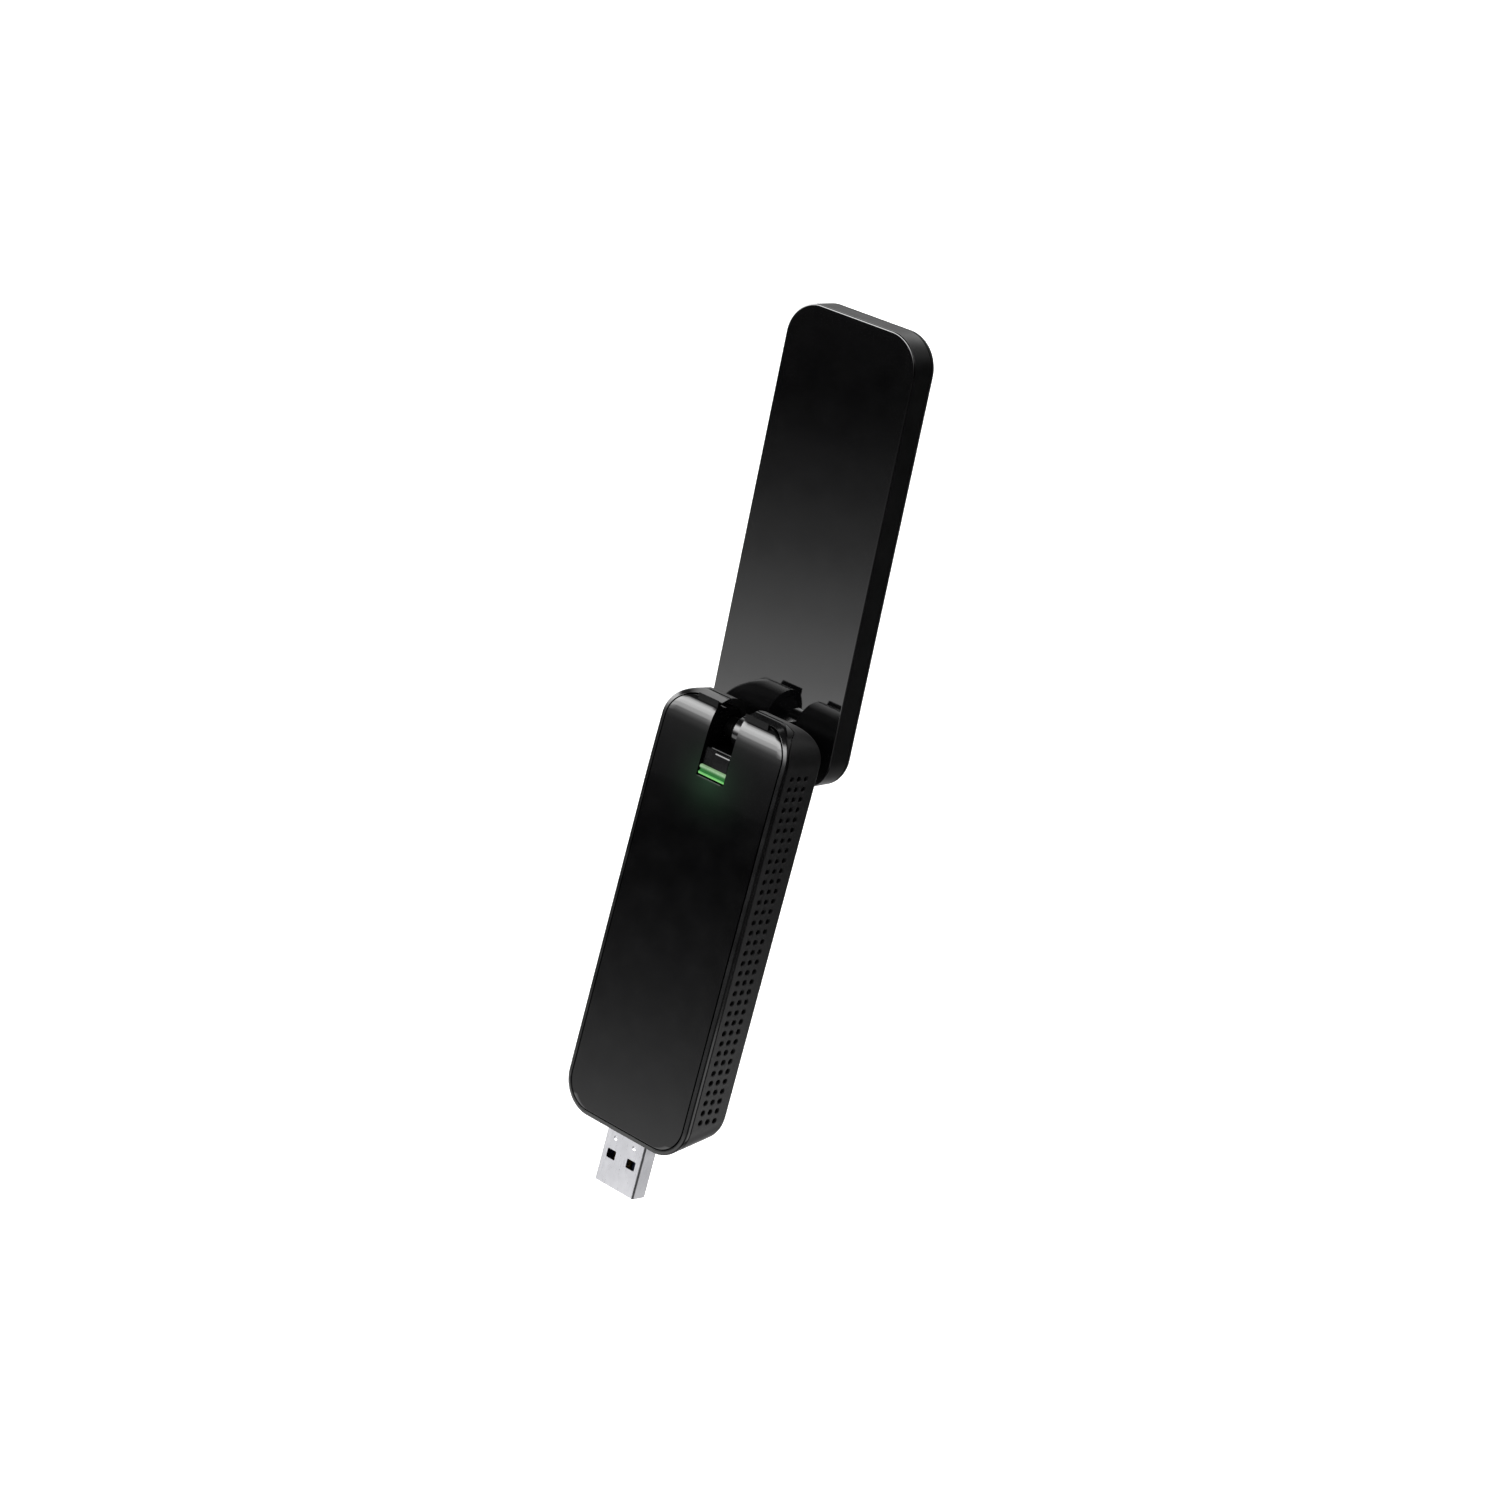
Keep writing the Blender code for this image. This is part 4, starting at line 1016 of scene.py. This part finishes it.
def panel_back_cover():
    """Back cover with a fine parting edge and a rounded outer edge."""
    start, back = PANEL_REACH + PANEL_SPLIT + GAP, PANEL_REACH + PANEL_DEPTH
    edge = PANEL_BACK_EDGE
    rings = [panel_ring(start, PARTING), panel_ring(start + PARTING, 0.0)]
    rings += [
        panel_ring(back - edge * (1 - math.sin(math.radians(a))), edge * (1 - math.cos(math.radians(a))))
        for a in range(0, 91, 15)
    ]
    rings.append(panel_ring(back, edge + 0.05 * MM))
    item = hinge_frame(to_object("panel_rear_cover", loft(rings)))
    return finish(item, satin, "antenna_panel", ["panel_back_cover"], 40)


front_cover()
trim_rim()
housing_shell()
rating_label()
light_bar()
usb_shell()
hinge_cradle()
friction_clutch()
hinge_arm()
panel_front_shell()
panel_back_cover()


# ---------------------------------------------------------------- camera
def make_camera():
    """Long lens from the front right, a little above, and turned in its own plane."""
    data = bpy.data.cameras.new("camera")
    data.lens = 89.24
    data.sensor_width = 36.0
    data.clip_start = 0.01
    data.clip_end = 20.0
    camera = bpy.data.objects.new("camera", data)
    bpy.context.scene.collection.objects.link(camera)
    azimuth, elevation, roll = math.radians(37.176), math.radians(13.876), math.radians(-14.787)
    distance = 0.8215
    target = Vector((1.81 * MM, 3.0 * MM, 106.63 * MM))
    level = math.cos(elevation)
    back = Vector((math.sin(azimuth) * level, -math.cos(azimuth) * level, math.sin(elevation)))
    turn = (-back).to_track_quat("-Z", "Y").to_matrix().to_4x4()
    spot = Matrix.Translation(target + back * distance)
    camera.matrix_world = spot @ turn @ Matrix.Rotation(-roll, 4, "Z")
    bpy.context.scene.camera = camera


# ---------------------------------------------------------------- light and floor
LEVEL_RANGE = 10.0  # the ramps hold the light levels divided by this, to stay in range


def elevation_ramp(tree, height, pairs):
    """A smooth ramp of grey light levels, given as (elevation in degrees, level) pairs."""
    stops = [
        ((math.sin(math.radians(angle)) + 1) / 2, (level / LEVEL_RANGE,) * 3) for angle, level in pairs
    ]
    return colour_ramp(tree, height, stops, "EASE")


def make_world():
    """White to the eye; reflections see a soft box in front, a dark band below it and a pale floor."""
    world = bpy.data.worlds.new("studio")
    bpy.context.scene.world = world
    world.use_nodes = True
    tree = world.node_tree
    tree.nodes.clear()
    output = node(tree, "ShaderNodeOutputWorld")
    source = node(tree, "ShaderNodeTexCoord")
    direction = node(tree, "ShaderNodeVectorMath", operation="NORMALIZE")
    tree.links.new(source.outputs["Generated"], direction.inputs[0])
    split = node(tree, "ShaderNodeSeparateXYZ")
    tree.links.new(direction.outputs["Vector"], split.inputs["Vector"])
    height = spread(tree, split.outputs["Z"], 0.0, 1.0, -1.0, 1.0)

    front_left = elevation_ramp(tree, height, [
        (-60, 1.4), (-26, 2.3), (-21.4, 1.6), (-19.6, 0.78), (-18.9, 0.46), (-18, 0.23), (-17.1, 0.11),
        (-16.3, 0.04), (-15.6, 0.012), (-14.6, 0.03), (-13, 0.17), (-10, 0.3), (-6, 0.8), (-2, 2.4),
        (4, 7.0), (12, 10.5), (20, 12.0), (27, 10.0), (32, 2.5), (37, 0.15), (60, 0.05),
    ])
    back_left = elevation_ramp(tree, height, [
        (-40, 0.9), (-15, 0.7), (0, 0.8), (14, 0.45), (24, 0.45), (35, 2.1), (45, 2.6), (54, 2.4),
        (62, 0.4), (75, 0.1),
    ])
    right = elevation_ramp(tree, height, [
        (-60, 0.01), (-36, 0.02), (-29, 0.15), (-24, 0.25), (-19, 0.14), (-15, 0.03), (-8, 0.006),
        (8, 0.01), (20, 0.05), (33, 0.5), (50, 0.5), (65, 0.15),
    ])
    depth = spread(tree, split.outputs["Y"], 0.0, 1.0, -0.05, 0.25)
    left = mixed_colour(tree, depth, front_left, back_left)
    across = spread(tree, split.outputs["X"], 0.0, 1.0, -0.25, 0.15)
    seen = mixed_colour(tree, across, left, right)

    studio = node(tree, "ShaderNodeBackground")
    studio.inputs["Strength"].default_value = LEVEL_RANGE
    tree.links.new(seen, studio.inputs["Color"])
    plain = node(tree, "ShaderNodeBackground")
    plain.inputs["Color"].default_value = (1.0, 1.0, 1.0, 1.0)
    plain.inputs["Strength"].default_value = 1.05
    paths = node(tree, "ShaderNodeLightPath")
    mix = node(tree, "ShaderNodeMixShader")
    tree.links.new(paths.outputs["Is Camera Ray"], mix.inputs["Fac"])
    tree.links.new(studio.outputs["Background"], mix.inputs[1])
    tree.links.new(plain.outputs["Background"], mix.inputs[2])
    tree.links.new(mix.outputs["Shader"], output.inputs["Surface"])


def make_floor():
    """Plain pale floor, some way below the plug; it stays out of the gloss's reflections."""
    size, drop = 4.0, 0.09
    mesh = bmesh.new()
    corners = [(x * size, y * size, -drop) for x, y in ((-1, -1), (1, -1), (1, 1), (-1, 1))]
    mesh.faces.new([mesh.verts.new(corner) for corner in corners])
    item = to_object("floor", mesh)
    made, tree, shader = new_material("pale_floor")
    shader.inputs["Base Color"].default_value = (0.9, 0.9, 0.9, 1.0)
    shader.inputs["Roughness"].default_value = 0.9
    shader.inputs["Specular IOR Level"].default_value = 0.1
    shader.inputs["Emission Color"].default_value = (1.0, 1.0, 1.0, 1.0)
    shader.inputs["Emission Strength"].default_value = 0.55
    item.data.materials.append(made)
    item.visible_glossy = False
    item.visible_shadow = False


def area_light(name, spot, target, size, power):
    """A soft rectangular lamp, in watts, that only reflections and shading see."""
    data = bpy.data.lights.new(name, "AREA")
    data.shape = "RECTANGLE"
    data.size, data.size_y = size
    data.energy = power
    item = bpy.data.objects.new(name, data)
    bpy.context.scene.collection.objects.link(item)
    spot, target = Vector(spot), Vector(target)
    turn = (target - spot).to_track_quat("-Z", "Y").to_matrix().to_4x4()
    item.matrix_world = Matrix.Translation(spot) @ turn
    item.visible_camera = False


make_camera()
make_world()
make_floor()
area_light("low_right", (0.12, 0.13, -0.06), (0.018, 0.0, 0.02), (0.10, 0.10), 0.036)
area_light("top_fill", (0.2, 0.1, 0.7), (0.0, 0.0, 0.15), (0.5, 0.5), 0.2)
bpy.context.scene.view_settings.view_transform = "Standard"
